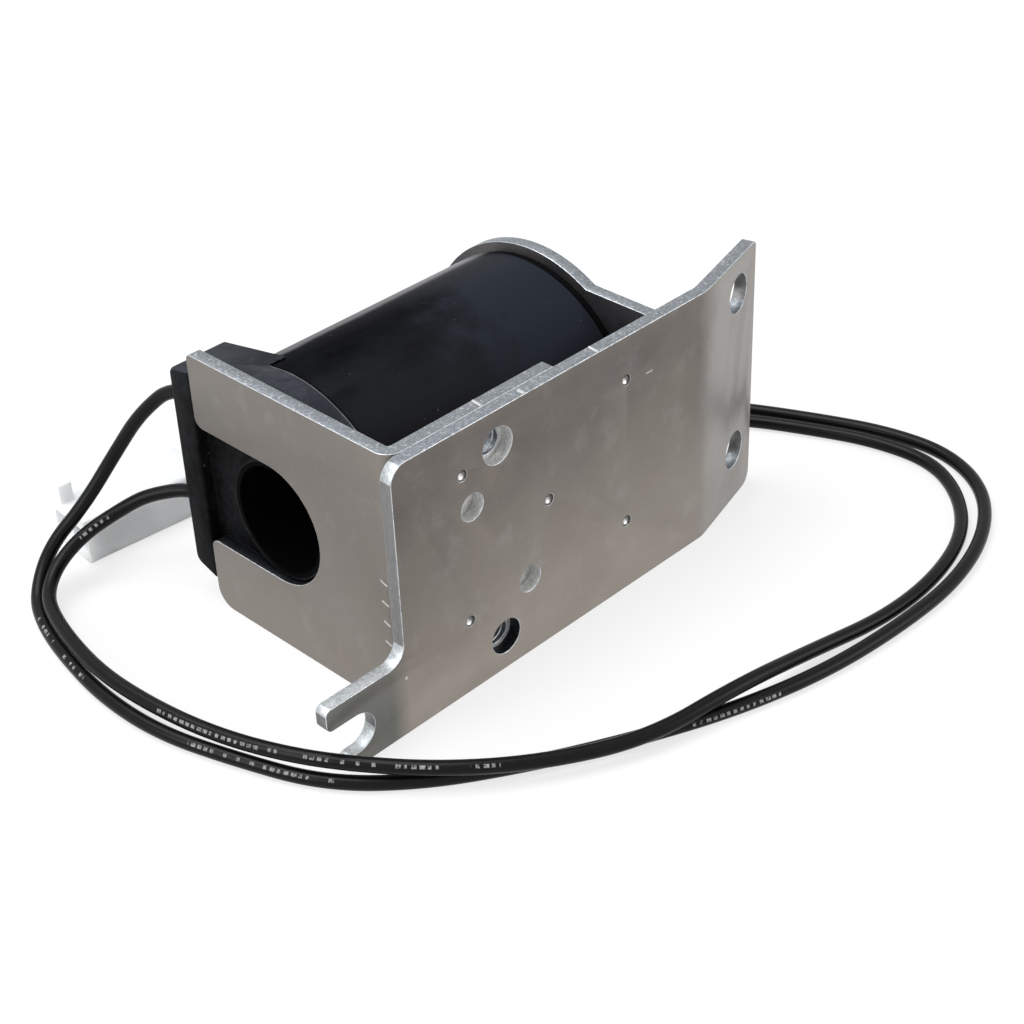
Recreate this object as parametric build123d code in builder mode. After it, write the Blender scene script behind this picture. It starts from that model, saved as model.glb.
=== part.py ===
"""Ice dispenser solenoid: an open-frame pull solenoid on a stamped mounting plate.

All sizes are in millimetres. +X runs along the solenoid from its open bore to its
closed rear, +Y from the mounting plate to the lead side, and +Z up. The part stands on
z = 0, and x = y = 0 is the middle of its footprint, leads and plug left aside.
"""
import os
from math import cos, pi, radians, sin, tan

from build123d import *

os.makedirs("parts", exist_ok=True)

# Sheet steel frame, a C seen from above
sheet = 1.6                # thickness of the frame and of the mounting plate
height = 33.0              # height of the front plate and of the mounting plate
edge_reach = 12.0          # from the axis to the far edge of the front plate
frame_inside = 39.0        # from the front plate to the rear plate, inner faces
bend_outer_r = 2.0
plate_corner_r = 2.4       # lower far corner of the front plate
plate_top_corner_r = 0.7   # its upper far corner
slot_corner_r = 1.2        # corners of the slot's mouth
leaf_tab_length = 23.6     # full-height stretch of the side leaf, from the front face
leaf_drop = 2.4            # how much lower the side leaf is behind that tab
shoulder_drop = 1.75       # how much lower the rear plate is beside its arch
arch_rise = 0.6            # how far the rear plate's arch stands above the front plate

# Solenoid axis
coil_gap = 1.8             # between the side leaf and the coil cover
slot_r = 7.45              # round end of the front slot, centred on the axis

# Mounting plate, flat with a bent flange behind and a slotted hook in front
plate_front = 1.2          # how far the plate stands in front of the front plate
plate_top_r = 2.2
hook_reach = 12.2          # tip of the upper finger, in front of the front plate
hook_low_reach = 10.0      # tip of the lower finger
hook_height = 9.4
hook_root_r = 2.2
finger_r = 0.8
hook_slot_width = 4.8
hook_slot_height = 4.2     # centre line of the hook slot above the base
hook_slot_end = 5.9        # round end of the hook slot, in front of the front plate
flange_angle = 15.3        # degrees that the rear flange is bent inward
flange_start = 46.7        # bend line, behind the front face
flange_length = 13.7
flange_low_r = 1.8         # lower rear corner
flange_top_r = 0.7         # upper rear corner
flange_bend_r = 3.0
flange_hole_r = 2.4
flange_hole_in = 8.9       # flange holes, from the bend line
flange_hole_low = 7.1
flange_hole_down = 4.7     # upper flange hole, from the top
pattern_x = 13.5           # centre of the four-hole pattern, behind the front face
screw_hole_spacing = 24.5  # upper to lower screw hole
screw_clear_r = 2.15       # the screw holes in the mounting plate
screw_tap_r = 1.65         # the same holes in the leaf, tapped for a 4 mm screw
pin_hole_dx = 4.0          # two small holes in the plate alone, beside the pattern's centre
pin_hole_dz = 6.7
pin_hole_r = 1.6
dimple_r = 0.65
dimple_depth = 0.7
post_r = 1.0               # clinch posts behind the dimples
dimple_x = 20.8            # centre of the dimples, behind the front face
dimple_dx = 12.45
dimple_dz = 9.2
dimple_z = 18.4

# Moulded bobbin
head_lap = 0.2             # how far the head stands out round the coil cover
head_thick = 3.4
hood_reach = 2.3           # how far the far corners of the head lap over the coil cover
hood_start = 4.2           # where the hood begins, from the axis toward the far side
rim_reach = 3.6            # far face of the head, beyond the edge of the front plate
head_far_top = 13.6        # top and bottom of the far face, from the axis
head_far_low = 12.1
head_corner_r = 1.2
hood_gap = 0.05            # hood to coil cover
rim_gap = 0.1              # between the head's rim and the edge of the front plate
nose_r = 7.3               # tube end that stands in the slot
nose_recess = 0.7          # how far it stays behind the front face
tube_r = 7.9
sleeve_wall = 0.5          # guide sleeve in the bobbin's bore
rear_flange_thick = 1.5
cushion_thick = 0.7
cushion_r = 15.9
cushion_hole_r = 7.2

# Coil
winding_room = 0.3         # between the winding's tape and the coil cover
tape_thick = 0.2
cover_r = 16.2
cover_wall = 1.0
cover_end_gap = 0.2        # between the cover and the bobbin's two flanges
cover_fit = 0.05
cover_edge_r = 0.4

# Fixed core, shading ring and plunger
plunger_r = 6.35
plunger_clearance = 0.1    # radial, in the guide sleeve
plunger_length = 20.0
plunger_chamfer = 0.5
rod_hole_r = 2.1           # drilled and tapped for a 5 mm pull rod
rod_hole_depth = 10.0
air_gap = 0.4              # plunger to fixed core when pulled in
core_length = 11.7
core_fit = 0.03            # radial, in the guide sleeve
stake_r = 3.6
stake_head_r = 4.5
stake_head = 0.6
ring_inner_r = 4.2
ring_outer_r = 5.0
ring_depth = 1.2

# Leads, splices and plug
lead_r = 0.83
lead_x = 1.8               # centre of the lead exits, behind the head's front face
lead_z_a = 25.0
lead_z_b = 11.4
lead_seat = 2.8            # length of lead inside the head
lead_lift = 0.02           # leads on the table, under them
lead_approach = 3.9        # straight stretch of lead behind the plug
run_share = 0.45           # part of a run that an arc at its end may take
splice_length = 4.3
splice_r = 1.0
splice_sleeve_r = 1.25
magnet_wire_r = 0.15
tail_clearance = 0.2
tail_run = 0.6
plug_length = 17.0
plug_width = 7.8
plug_height = 6.0
plug_corner_r = 0.6
plug_pitch = 3.96
plug_turn = -5.0           # degrees that the plug lies turned on the table
plug_x = 3.21              # centre of the plug, behind the front face
plug_y = 53.65             # centre of the plug, from the mounting face
socket_side = 2.9
socket_depth = 9.0
plug_hole_gap = 0.1        # round each lead in the plug
latch_width = 1.8
latch_length = 1.8
latch_height = 2.5
terminal_side = 2.3
terminal_wall = 0.3
terminal_length = 8.0
crimp_length = 5.0

# Places that follow from the sizes
turn = radians(flange_angle)
arch_r = height / 2 + arch_rise
head_r = cover_r + head_lap
winding_r = cover_r - cover_wall - winding_room - tape_thick
axis_offset = 2 * sheet + coil_gap + cover_r
frame_width = axis_offset + edge_reach
leaf_low = height - leaf_drop
x_face = (hook_reach - flange_start - flange_length * cos(turn)) / 2
y_face = -(axis_offset + arch_r) / 2
axis_y = y_face + axis_offset
axis_z = height / 2
y_leaf = y_face + sheet
x_head = x_face + sheet
x_coil = x_head + head_thick
x_rear = x_face + sheet + frame_inside
x_flange = x_rear - cushion_thick - rear_flange_thick
x_bend = x_face + flange_start
x_flat = x_bend - flange_bend_r
y_edge = y_face + frame_width
y_far = y_edge + rim_reach
sleeve_r = plunger_r + plunger_clearance
bore_r = sleeve_r + sleeve_wall
x_core = x_rear - core_length
x_plunger = x_core - air_gap - plunger_length
x_lead = x_head + lead_x
y_splice = y_far - lead_seat
y_tail = y_splice - splice_length - tail_run
plug_centre = Vector(x_face + plug_x, y_face + plug_y, 0)
plug_along = Vector(cos(radians(plug_turn)), sin(radians(plug_turn)), 0)
plug_across = Vector(-sin(radians(plug_turn)), cos(radians(plug_turn)), 0)

# Planes that several pieces are drawn on
outer_face = Plane.XZ.offset(-y_face)
leaf_face = Plane.XZ.offset(-y_leaf)
flange_plane = Plane(
    origin=(x_bend, y_face, 0),
    x_dir=(cos(turn), sin(turn), 0),
    z_dir=(sin(turn), -cos(turn), 0),
)

# Hole places on the mounting plate, as (x, z)
screw_holes = [
    (x_face + pattern_x, axis_z + side * screw_hole_spacing / 2) for side in (-1, 1)
]
pin_holes = [
    (x_face + pattern_x + side * pin_hole_dx, axis_z - side * pin_hole_dz) for side in (-1, 1)
]
dimples = [(x_face + dimple_x, dimple_z)] + [
    (x_face + dimple_x + dx * dimple_dx, dimple_z + dz * dimple_dz)
    for dx in (-1, 1)
    for dz in (-1, 1)
]


def corner(sketch, x, y):
    """The sketch's corner nearest to a point of its plane."""
    return sketch.vertices().sort_by_distance(Vector(x, y, 0))[0]


def ring(x, length, inner_r, outer_r):
    """Draw and extrude a ring about the solenoid's axis, from x toward the rear."""
    with BuildSketch(Plane.YZ.offset(x)) as section:
        with Locations((axis_y, axis_z)):
            Circle(outer_r)
            Circle(inner_r, mode=Mode.SUBTRACT)
    extrude(section.sketch, amount=length)


def disc(x, length, radius, mode=Mode.ADD):
    """Draw and extrude a disc about the solenoid's axis, from x toward the rear."""
    with BuildSketch(Plane.YZ.offset(x)) as section:
        with Locations((axis_y, axis_z)):
            Circle(radius)
    extrude(section.sketch, amount=length, mode=mode)


def tube(path, radius):
    """Sweep a round section along a path that starts at its first point."""
    with BuildSketch(Plane(origin=path @ 0, z_dir=path % 0)) as section:
        Circle(radius)
    sweep(section.sketch, path=path)


def far_edges(builder):
    """The X-directed edges at the far side of the front plate, from the bottom up."""
    at_side = builder.edges().filter_by(Axis.X).filter_by(
        lambda edge: abs(edge.center().Y - y_edge) < sheet / 2 and edge.center().X < x_head
    )
    return at_side.sort_by(Axis.Z)


def write(part, name):
    """Label a finished piece and write it as a STEP file of that name."""
    part.label = name
    export_step(part, f"parts/{name}.step")


# Frame: front plate, side leaf and rear plate bent from one strip
with BuildPart() as frame:
    with BuildSketch() as strip:
        with BuildLine():
            Polyline(
                (x_face, y_edge),
                (x_face, y_leaf),
                (x_rear + sheet, y_leaf),
                (x_rear + sheet, axis_y + arch_r),
                (x_rear, axis_y + arch_r),
                (x_rear, y_leaf + sheet),
                (x_head, y_leaf + sheet),
                (x_head, y_edge),
                close=True,
            )
        make_face()
        for x in (x_face, x_rear + sheet):
            fillet(corner(strip, x, y_leaf), bend_outer_r)
        for x in (x_head, x_rear):
            fillet(corner(strip, x, y_leaf + sheet), bend_outer_r - sheet)
    extrude(amount=axis_z + arch_r)

    # the front plate and the leaf's tab end at the full height, the rest is lower
    with BuildSketch(leaf_face) as above_leaf:
        with BuildLine():
            Polyline(
                (x_face, height),
                (x_face + leaf_tab_length, height),
                (x_face + leaf_tab_length, leaf_low),
                (x_rear - sheet, leaf_low),
                (x_rear - sheet, axis_z + arch_r),
                (x_face, axis_z + arch_r),
                close=True,
            )
        make_face()
    extrude(amount=-frame_width, mode=Mode.SUBTRACT)

    # rear plate: shoulders beside an arch that follows the coil
    with BuildSketch(Plane.YZ.offset(x_rear - sheet)) as beside_arch:
        with Locations((axis_y, height)):
            Rectangle(2 * (axis_offset + arch_r), 2 * height)
        with Locations((axis_y, axis_z)):
            Circle(arch_r, mode=Mode.SUBTRACT)
        with Locations((y_leaf, 0)):
            Rectangle(
                axis_y - y_leaf, height - shoulder_drop, align=(Align.MIN, Align.MIN), mode=Mode.SUBTRACT
            )
    extrude(amount=2 * sheet, mode=Mode.SUBTRACT)

    # front plate: the slot runs from the bore to the far edge
    with BuildSketch(Plane.YZ.offset(x_face)) as front_slot:
        with Locations((axis_y, axis_z)):
            Circle(slot_r)
            Rectangle(frame_width, 2 * slot_r, align=(Align.MIN, Align.CENTER))
    extrude(amount=sheet, mode=Mode.SUBTRACT)
    fillet(far_edges(frame)[1:3], slot_corner_r)
    fillet(far_edges(frame)[0], plate_corner_r)
    fillet(far_edges(frame)[-1], plate_top_corner_r)

    # holes for the screws and the clinch posts, and the fixed core's stake
    with BuildSketch(leaf_face):
        with Locations(*screw_holes):
            Circle(screw_tap_r)
        with Locations(*dimples):
            Circle(post_r)
    extrude(amount=-sheet, mode=Mode.SUBTRACT)
    disc(x_rear, sheet, stake_r, Mode.SUBTRACT)
write(frame.part, "frame")

# Mounting plate with its hook, holes, clinch posts and bent flange
with BuildPart() as mounting_plate:
    with BuildSketch(outer_face) as outline:
        with BuildLine():
            Polyline(
                (x_flat, 0),
                (x_face - hook_low_reach, 0),
                (x_face - hook_low_reach, hook_slot_height),
                (x_face - hook_reach, hook_slot_height),
                (x_face - hook_reach, hook_height),
                (x_face - plate_front, hook_height),
                (x_face - plate_front, height),
                (x_flat, height),
                close=True,
            )
        make_face()
        with Locations((x_face - hook_slot_end - hook_slot_width / 2, hook_slot_height)):
            Circle(hook_slot_width / 2, mode=Mode.SUBTRACT)
            Rectangle(
                hook_reach, hook_slot_width, align=(Align.MAX, Align.CENTER), mode=Mode.SUBTRACT
            )
        slot_top = hook_slot_height + hook_slot_width / 2
        slot_bottom = hook_slot_height - hook_slot_width / 2
        fillet(corner(outline, x_face - plate_front, height), plate_top_r)
        fillet(corner(outline, x_face - plate_front, hook_height), hook_root_r)
        for tip in (
            (x_face - hook_reach, hook_height),
            (x_face - hook_reach, slot_top),
            (x_face - hook_low_reach, slot_bottom),
            (x_face - hook_low_reach, 0),
        ):
            fillet(corner(outline, *tip), finger_r)
        with Locations(*screw_holes):
            Circle(screw_clear_r, mode=Mode.SUBTRACT)
        with Locations(*pin_holes):
            Circle(pin_hole_r, mode=Mode.SUBTRACT)
    extrude(amount=-sheet)

    # flange, bent inward, with rounded rear corners and two holes
    inner_step = sheet * tan(turn / 2)
    flange_end = Vector(x_bend + flange_length * cos(turn), y_face + flange_length * sin(turn))
    flange_back = flange_end + Vector(-sheet * sin(turn), sheet * cos(turn))
    with BuildSketch() as bend:
        with BuildLine():
            Polyline(
                (x_flat, y_face),
                (x_bend, y_face),
                (flange_end.X, flange_end.Y),
                (flange_back.X, flange_back.Y),
                (x_bend - inner_step, y_leaf),
                (x_flat, y_leaf),
                close=True,
            )
        make_face()
        fillet(corner(bend, x_bend, y_face), flange_bend_r + sheet)
        fillet(corner(bend, x_bend - inner_step, y_leaf), flange_bend_r)
    extrude(amount=height)
    for end, corner_r in ((0, flange_low_r), (-1, flange_top_r)):
        rear_edges = mounting_plate.edges().filter_by(
            lambda edge: edge.center().X > flange_end.X - sheet
            and abs(edge.tangent_at(0).Z) < sin(turn)
        )
        fillet(rear_edges.sort_by(Axis.Z)[end], corner_r)
    with BuildSketch(flange_plane):
        with Locations((flange_hole_in, flange_hole_low), (flange_hole_in, height - flange_hole_down)):
            Circle(flange_hole_r)
    extrude(amount=-sheet, mode=Mode.SUBTRACT)

    # clinches: a dimple in the outer face and a post into the leaf behind each
    with BuildSketch(outer_face):
        with Locations(*dimples):
            Circle(dimple_r)
    extrude(amount=-dimple_depth, mode=Mode.SUBTRACT)
    with BuildSketch(leaf_face):
        with Locations(*dimples):
            Circle(post_r)
    extrude(amount=-sheet)
write(mounting_plate.part, "mounting_plate")

# Bobbin: head, tube and rear flange in one moulding
with BuildPart() as bobbin:
    with BuildSketch(Plane.YZ.offset(x_head)) as head:
        with BuildLine():
            CenterArc((axis_y, axis_z), head_r, 0, 360)
            Line((y_far, axis_z - head_far_low), (y_far, axis_z + head_far_top))
        make_hull()
        with Locations((y_far, axis_z)):
            Rectangle(head_r, 2 * head_r, align=(Align.MIN, Align.CENTER), mode=Mode.SUBTRACT)
        for end in (-head_far_low, head_far_top):
            fillet(corner(head, y_far, axis_z + end), head_corner_r)
    extrude(amount=head_thick)

    # hood over the front of the coil cover, on the far side only
    with BuildSketch(Plane.YZ.offset(x_coil)) as hood:
        add(head.sketch_local)
        with Locations((axis_y, axis_z)):
            Circle(cover_r + hood_gap, mode=Mode.SUBTRACT)
        with Locations((axis_y + hood_start, axis_z)):
            Rectangle(height, 2 * height, align=(Align.MAX, Align.CENTER), mode=Mode.SUBTRACT)
    extrude(amount=hood_reach)

    # rim that wraps the far edge of the front plate, flush with its front face
    with BuildSketch(Plane.YZ.offset(x_face)) as rim:
        add(head.sketch_local)
        with Locations((y_edge + rim_gap, axis_z)):
            Rectangle(
                2 * frame_width, 2 * height, align=(Align.MAX, Align.CENTER), mode=Mode.SUBTRACT
            )
    extrude(amount=sheet)

    disc(x_face + nose_recess, sheet - nose_recess, nose_r)
    disc(x_coil, x_flange - x_coil, tube_r)
    disc(x_flange, rear_flange_thick, cover_r - cover_wall - cover_fit)
    disc(x_face, x_rear - x_face, bore_r, Mode.SUBTRACT)

    # each lead's hole, the pocket for its splice, and the way of the winding's end
    for z in (lead_z_a, lead_z_b):
        with BuildSketch(Plane.XZ.offset(-y_far)):
            with Locations((x_lead, z)):
                Circle(lead_r)
        extrude(amount=lead_seat, mode=Mode.SUBTRACT)
        with BuildSketch(Plane.XZ.offset(-y_splice)):
            with Locations((x_lead, z)):
                Circle(splice_sleeve_r)
        extrude(amount=y_splice - y_tail + magnet_wire_r + tail_clearance, mode=Mode.SUBTRACT)
        with BuildSketch(Plane.YZ.offset(x_lead)):
            with Locations((y_tail, z)):
                Circle(magnet_wire_r + tail_clearance)
        extrude(amount=x_coil - x_lead, mode=Mode.SUBTRACT)
write(bobbin.part, "bobbin")

# Guide sleeve that lines the bobbin's bore
with BuildPart() as guide_sleeve:
    ring(x_face + nose_recess, x_flange + rear_flange_thick - x_face - nose_recess, sleeve_r, bore_r)
write(guide_sleeve.part, "guide_sleeve")

# Coil winding, with the tape round it
with BuildPart() as winding:
    ring(x_coil, x_flange - x_coil, tube_r, winding_r)
write(winding.part, "winding")

with BuildPart() as winding_tape:
    ring(x_coil, x_flange - x_coil, winding_r, winding_r + tape_thick)
write(winding_tape.part, "winding_tape")

# The winding's two ends, each from the winding's front face to its splice
with BuildPart() as winding_ends:
    for z in (lead_z_a, lead_z_b):
        with BuildLine() as end_path:
            FilletPolyline(
                (x_coil, y_tail, z),
                (x_lead, y_tail, z),
                (x_lead, y_tail + tail_run, z),
                radius=2 * magnet_wire_r,
            )
        tube(end_path.line, magnet_wire_r)
write(winding_ends.part, "winding_ends")

# Coil cover over the winding
with BuildPart() as coil_cover:
    ring(
        x_coil + cover_end_gap,
        x_flange + rear_flange_thick - x_coil - 2 * cover_end_gap,
        cover_r - cover_wall,
        cover_r,
    )
    rear_circles = coil_cover.edges().filter_by(GeomType.CIRCLE).group_by(Axis.X)[-1]
    fillet(rear_circles.sort_by(SortBy.RADIUS)[-1], cover_edge_r)
write(coil_cover.part, "coil_cover")

# Cushion ring that takes up the play between the bobbin and the rear plate
with BuildPart() as rear_cushion:
    ring(x_rear - cushion_thick, cushion_thick, cushion_hole_r, cushion_r)
write(rear_cushion.part, "rear_cushion")

# Fixed core, staked into the rear plate, with a groove for the shading ring
with BuildPart() as fixed_core:
    disc(x_core, core_length, sleeve_r - core_fit)
    with BuildSketch(Plane.YZ.offset(x_core)):
        with Locations((axis_y, axis_z)):
            Circle(ring_outer_r)
            Circle(ring_inner_r, mode=Mode.SUBTRACT)
    extrude(amount=ring_depth, mode=Mode.SUBTRACT)
    disc(x_rear, sheet, stake_r)
    disc(x_rear + sheet, stake_head, stake_head_r)
write(fixed_core.part, "fixed_core")

with BuildPart() as shading_ring:
    ring(x_core, ring_depth, ring_inner_r, ring_outer_r)
write(shading_ring.part, "shading_ring")

# Plunger, with a tapped hole for the pull rod in its front end
with BuildPart() as plunger:
    disc(x_plunger, plunger_length, plunger_r)
    chamfer(plunger.edges().filter_by(GeomType.CIRCLE), plunger_chamfer)
    disc(x_plunger, rod_hole_depth, rod_hole_r, Mode.SUBTRACT)
write(plunger.part, "plunger")

# Crimp splices that join the leads to the winding's ends, and their sleeves
with BuildPart() as splices:
    for z in (lead_z_a, lead_z_b):
        with BuildSketch(Plane.XZ.offset(-y_splice)):
            with Locations((x_lead, z)):
                Circle(splice_r)
        extrude(amount=splice_length)
write(splices.part, "splices")

with BuildPart() as splice_sleeves:
    for z in (lead_z_a, lead_z_b):
        with BuildSketch(Plane.XZ.offset(-y_splice)):
            with Locations((x_lead, z)):
                Circle(splice_sleeve_r)
                Circle(splice_r, mode=Mode.SUBTRACT)
        extrude(amount=splice_length)
write(splice_sleeves.part, "splice_sleeves")

# Plug on the far end of the leads, turned a little on the table. It is drawn across its
# length, with the two contacts side by side
def plug_section(along):
    """A plane across the plug, by its distance behind the mating end."""
    return Plane(
        origin=plug_centre + plug_along * (along - plug_length / 2),
        x_dir=plug_across,
        z_dir=plug_along,
    )


contacts = [(side * plug_pitch / 2, plug_height / 2) for side in (-1, 1)]

with BuildPart() as plug_housing:
    with BuildSketch(plug_section(0)):
        with Locations((0, plug_height / 2)):
            RectangleRounded(plug_width, plug_height, plug_corner_r)
    extrude(amount=plug_length)
    # latch on the far edge of the mating end
    with BuildSketch(plug_section(0)):
        with Locations((plug_width / 2 - plug_corner_r, plug_height - plug_corner_r)):
            Rectangle(latch_width, latch_height + plug_corner_r, align=(Align.MAX, Align.MIN))
    extrude(amount=latch_length)
    # a square socket and a round wire hole for each contact
    with BuildSketch(plug_section(0)):
        with Locations(*contacts):
            Rectangle(socket_side, socket_side)
    extrude(amount=socket_depth, mode=Mode.SUBTRACT)
    with BuildSketch(plug_section(socket_depth)):
        with Locations(*contacts):
            Circle(lead_r + plug_hole_gap)
    extrude(amount=plug_length - socket_depth, mode=Mode.SUBTRACT)
write(plug_housing.part, "plug_housing")

# Contacts: a box that takes the mating pin, and a crimp barrel on the lead behind it
with BuildPart() as plug_contacts:
    with BuildSketch(plug_section(socket_depth - terminal_length)):
        with Locations(*contacts):
            Rectangle(terminal_side, terminal_side)
            Rectangle(
                terminal_side - 2 * terminal_wall,
                terminal_side - 2 * terminal_wall,
                mode=Mode.SUBTRACT,
            )
    extrude(amount=terminal_length)
    with BuildSketch(plug_section(socket_depth)):
        with Locations(*contacts):
            Circle(lead_r + plug_hole_gap)
    extrude(amount=crimp_length)
write(plug_contacts.part, "plug_contacts")


# Leads: out of the head's far face, down to the table, round the front of the plate and
# back behind it to the plug. Points are (behind the front face, from the mounting face,
# up), as the leads happen to lie
def lead_points(exit_z, lying, side):
    """The route of one lead, from its splice in the head to its contact in the plug."""
    start = Vector(x_lead, y_splice, exit_z)
    middle = [Vector(x_face + x, y_face + y, z) for x, y, z in lying]
    across = plug_across * (side * plug_pitch / 2) + Vector(0, 0, plug_height / 2)
    crimp_end = socket_depth + crimp_length - plug_length / 2
    entry = plug_centre + plug_along * (plug_length / 2 + lead_approach) + across
    return [start] + middle + [entry, plug_centre + plug_along * crimp_end + across]


def corner_radii(points):
    """The largest arc at each corner that leaves a tenth of the shorter run straight."""
    radii = []
    for before, here, after in zip(points, points[1:], points[2:]):
        half_turn = radians((here - before).get_angle(after - here)) / 2
        shorter = min((here - before).length, (after - here).length)
        radii.append(run_share * shorter / tan(half_turn))
    return radii


floor_z = lead_r + lead_lift
lead_exit = x_lead - x_face
lying_a = [
    (lead_exit, 40.6, lead_z_a),
    (0.9, 45.1, 20.4),
    (-1.3, 48.1, 14.9),
    (-5.5, 49.8, 9.1),
    (-10.2, 51.5, 4.6),
    (-14.5, 49.0, 1.3),
    (-16.9, 44.2, floor_z),
    (-18.7, 37.4, floor_z),
    (-20.1, 28.6, floor_z),
    (-19.8, 19.3, floor_z),
    (-17.2, 10.2, floor_z),
    (-13.4, 0.0, floor_z),
    (-6.5, -7.4, floor_z),
    (2.8, -13.6, floor_z),
    (12.6, -18.9, floor_z),
    (23.4, -23.7, floor_z),
    (35.0, -27.0, floor_z),
    (47.0, -28.3, floor_z),
    (58.0, -28.2, floor_z),
    (68.2, -25.4, floor_z),
    (76.0, -20.0, floor_z),
    (79.8, -12.3, floor_z),
    (79.0, -3.8, floor_z),
    (75.8, 4.6, floor_z),
    (71.0, 14.8, floor_z),
    (65.2, 23.6, floor_z),
    (57.3, 31.2, floor_z),
    (49.0, 38.4, floor_z),
    (40.5, 44.6, floor_z),
    (32.0, 49.6, floor_z),
    (24.2, 52.9, 1.7),
]
lying_b = [
    (lead_exit, 39.5, lead_z_b),
    (-0.1, 44.2, 10.2),
    (-2.4, 46.5, 8.5),
    (-7.0, 48.6, 6.2),
    (-10.9, 48.8, 4.0),
    (-13.9, 47.0, 2.7),
    (-15.8, 43.9, 2.4),
    (-17.7, 37.4, 2.5),
    (-18.9, 29.7, 2.5),
    (-18.5, 21.8, 2.4),
    (-17.3, 14.2, 2.4),
    (-15.3, 6.7, 2.8),
    (-12.1, -0.6, 3.2),
    (-5.5, -8.9, 2.8),
    (2.9, -15.7, 2.3),
    (13.1, -20.9, 1.95),
    (24.7, -23.2, 3.1),
    (36.2, -24.2, 1.5),
    (47.0, -26.2, floor_z),
    (57.2, -26.1, floor_z),
    (66.5, -23.5, floor_z),
    (73.2, -18.2, floor_z),
    (76.9, -11.7, floor_z),
    (76.2, -3.6, floor_z),
    (73.3, 3.9, floor_z),
    (69.3, 12.3, floor_z),
    (62.6, 20.9, floor_z),
    (55.0, 28.4, floor_z),
    (47.0, 35.2, floor_z),
    (39.0, 41.0, floor_z),
    (31.2, 45.8, floor_z),
    (23.6, 48.9, 1.7),
]

for name, exit_z, lying, side in (
    ("lead_a", lead_z_a, lying_a, 1),
    ("lead_b", lead_z_b, lying_b, -1),
):
    route = lead_points(exit_z, lying, side)
    radii = corner_radii(route)
    with BuildPart() as lead:
        with BuildLine() as lead_path:
            FilletPolyline(*route, radius=radii)
        tube(lead_path.line, lead_r)
    length = lead_path.wire().length
    print(name, "length", round(length, 1), "smallest radius", round(min(radii), 1))
    print(name, "radii", [round(radius, 1) for radius in radii])
    print(name, "volume", round(lead.part.volume, 1), "of", round(pi * lead_r**2 * length, 1))
    write(lead.part, name)
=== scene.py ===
"""Looks of an open-frame pull solenoid on a stamped plate, dressed over its CAD frame.

Lengths are in millimetres where a class names them and in metres in the scene. +X runs
along the solenoid from its open bore to its closed rear, +Y from the mounting plate to
the lead side, and +Z up from the table.
"""

import logging
from collections.abc import Callable
from dataclasses import dataclass, field
from enum import Enum
from math import cos, pi, radians, sin

import bmesh
import bpy
from mathutils import Matrix, Vector


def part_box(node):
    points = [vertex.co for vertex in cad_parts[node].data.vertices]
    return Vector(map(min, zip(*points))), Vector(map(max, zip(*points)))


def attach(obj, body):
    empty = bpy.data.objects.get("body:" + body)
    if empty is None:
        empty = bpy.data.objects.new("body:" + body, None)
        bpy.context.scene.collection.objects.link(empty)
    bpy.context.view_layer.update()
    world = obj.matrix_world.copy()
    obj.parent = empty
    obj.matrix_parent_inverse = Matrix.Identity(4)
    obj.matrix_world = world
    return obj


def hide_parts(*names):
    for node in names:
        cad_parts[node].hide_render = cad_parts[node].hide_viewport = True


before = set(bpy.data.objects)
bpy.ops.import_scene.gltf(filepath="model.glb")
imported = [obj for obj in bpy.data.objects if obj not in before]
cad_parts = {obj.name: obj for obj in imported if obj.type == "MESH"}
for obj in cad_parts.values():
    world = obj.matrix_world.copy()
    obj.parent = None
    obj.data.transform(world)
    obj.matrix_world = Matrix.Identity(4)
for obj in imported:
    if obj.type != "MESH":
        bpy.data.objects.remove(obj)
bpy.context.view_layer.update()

MM = 0.001
SOLENOID = "solenoid"
PLATE_HEIGHT = 33.0
AXIS_Z = PLATE_HEIGHT / 2
DIMPLE_MIDDLE_Z = 18.4
DIMPLE_STEP_X = 12.45
DIMPLE_STEP_Z = 9.2
DIMPLE_R = 0.65
LEAD_MAP = "lead"
log = logging.getLogger("solenoid")

Triple = tuple[float, float, float]
Colour = Triple


# Node trees


class Wire:
    """An output of a node, with arithmetic that adds Math nodes to its tree."""

    def __init__(self, graph: "Graph", socket: bpy.types.NodeSocket) -> None:
        """Wrap an output socket of a tree."""
        self.graph = graph
        self.socket = socket

    def out(self, name: str | int) -> "Wire":
        """Another output of the same node."""
        return Wire(self.graph, self.socket.node.outputs[name])

    def maths(self, operation: str, *others: "Wire | float", first: bool = True) -> "Wire":
        """The result of a Math node, on which this wire comes first, or else last."""
        values = [self, *others] if first else [*others, self]
        return self.graph.node(
            "ShaderNodeMath", {"operation": operation}, dict(enumerate(values))
        )

    def clamp(self) -> "Wire":
        """The value held between 0 and 1."""
        return self.graph.node("ShaderNodeClamp", inputs={"Value": self})

    def waver(self, reach: float) -> "Wire":
        """Noise of about 0.5 as a shift either way, of reach in all."""
        return (self - 0.5) * reach

    def above(self, low: float, high: float) -> "Wire":
        """A mask that rises from 0 where the value is low to 1 where it is high."""
        return ((self - low) / (high - low)).clamp()

    def __add__(self, other: "Wire | float") -> "Wire":
        """Sum."""
        return self.maths("ADD", other)

    __radd__ = __add__

    def __sub__(self, other: "Wire | float") -> "Wire":
        """Difference."""
        return self.maths("SUBTRACT", other)

    def __rsub__(self, other: "Wire | float") -> "Wire":
        """Difference from a number."""
        return self.maths("SUBTRACT", other, first=False)

    def __mul__(self, other: "Wire | float") -> "Wire":
        """Product."""
        return self.maths("MULTIPLY", other)

    __rmul__ = __mul__

    def __truediv__(self, other: "Wire | float") -> "Wire":
        """Quotient."""
        return self.maths("DIVIDE", other)


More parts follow.
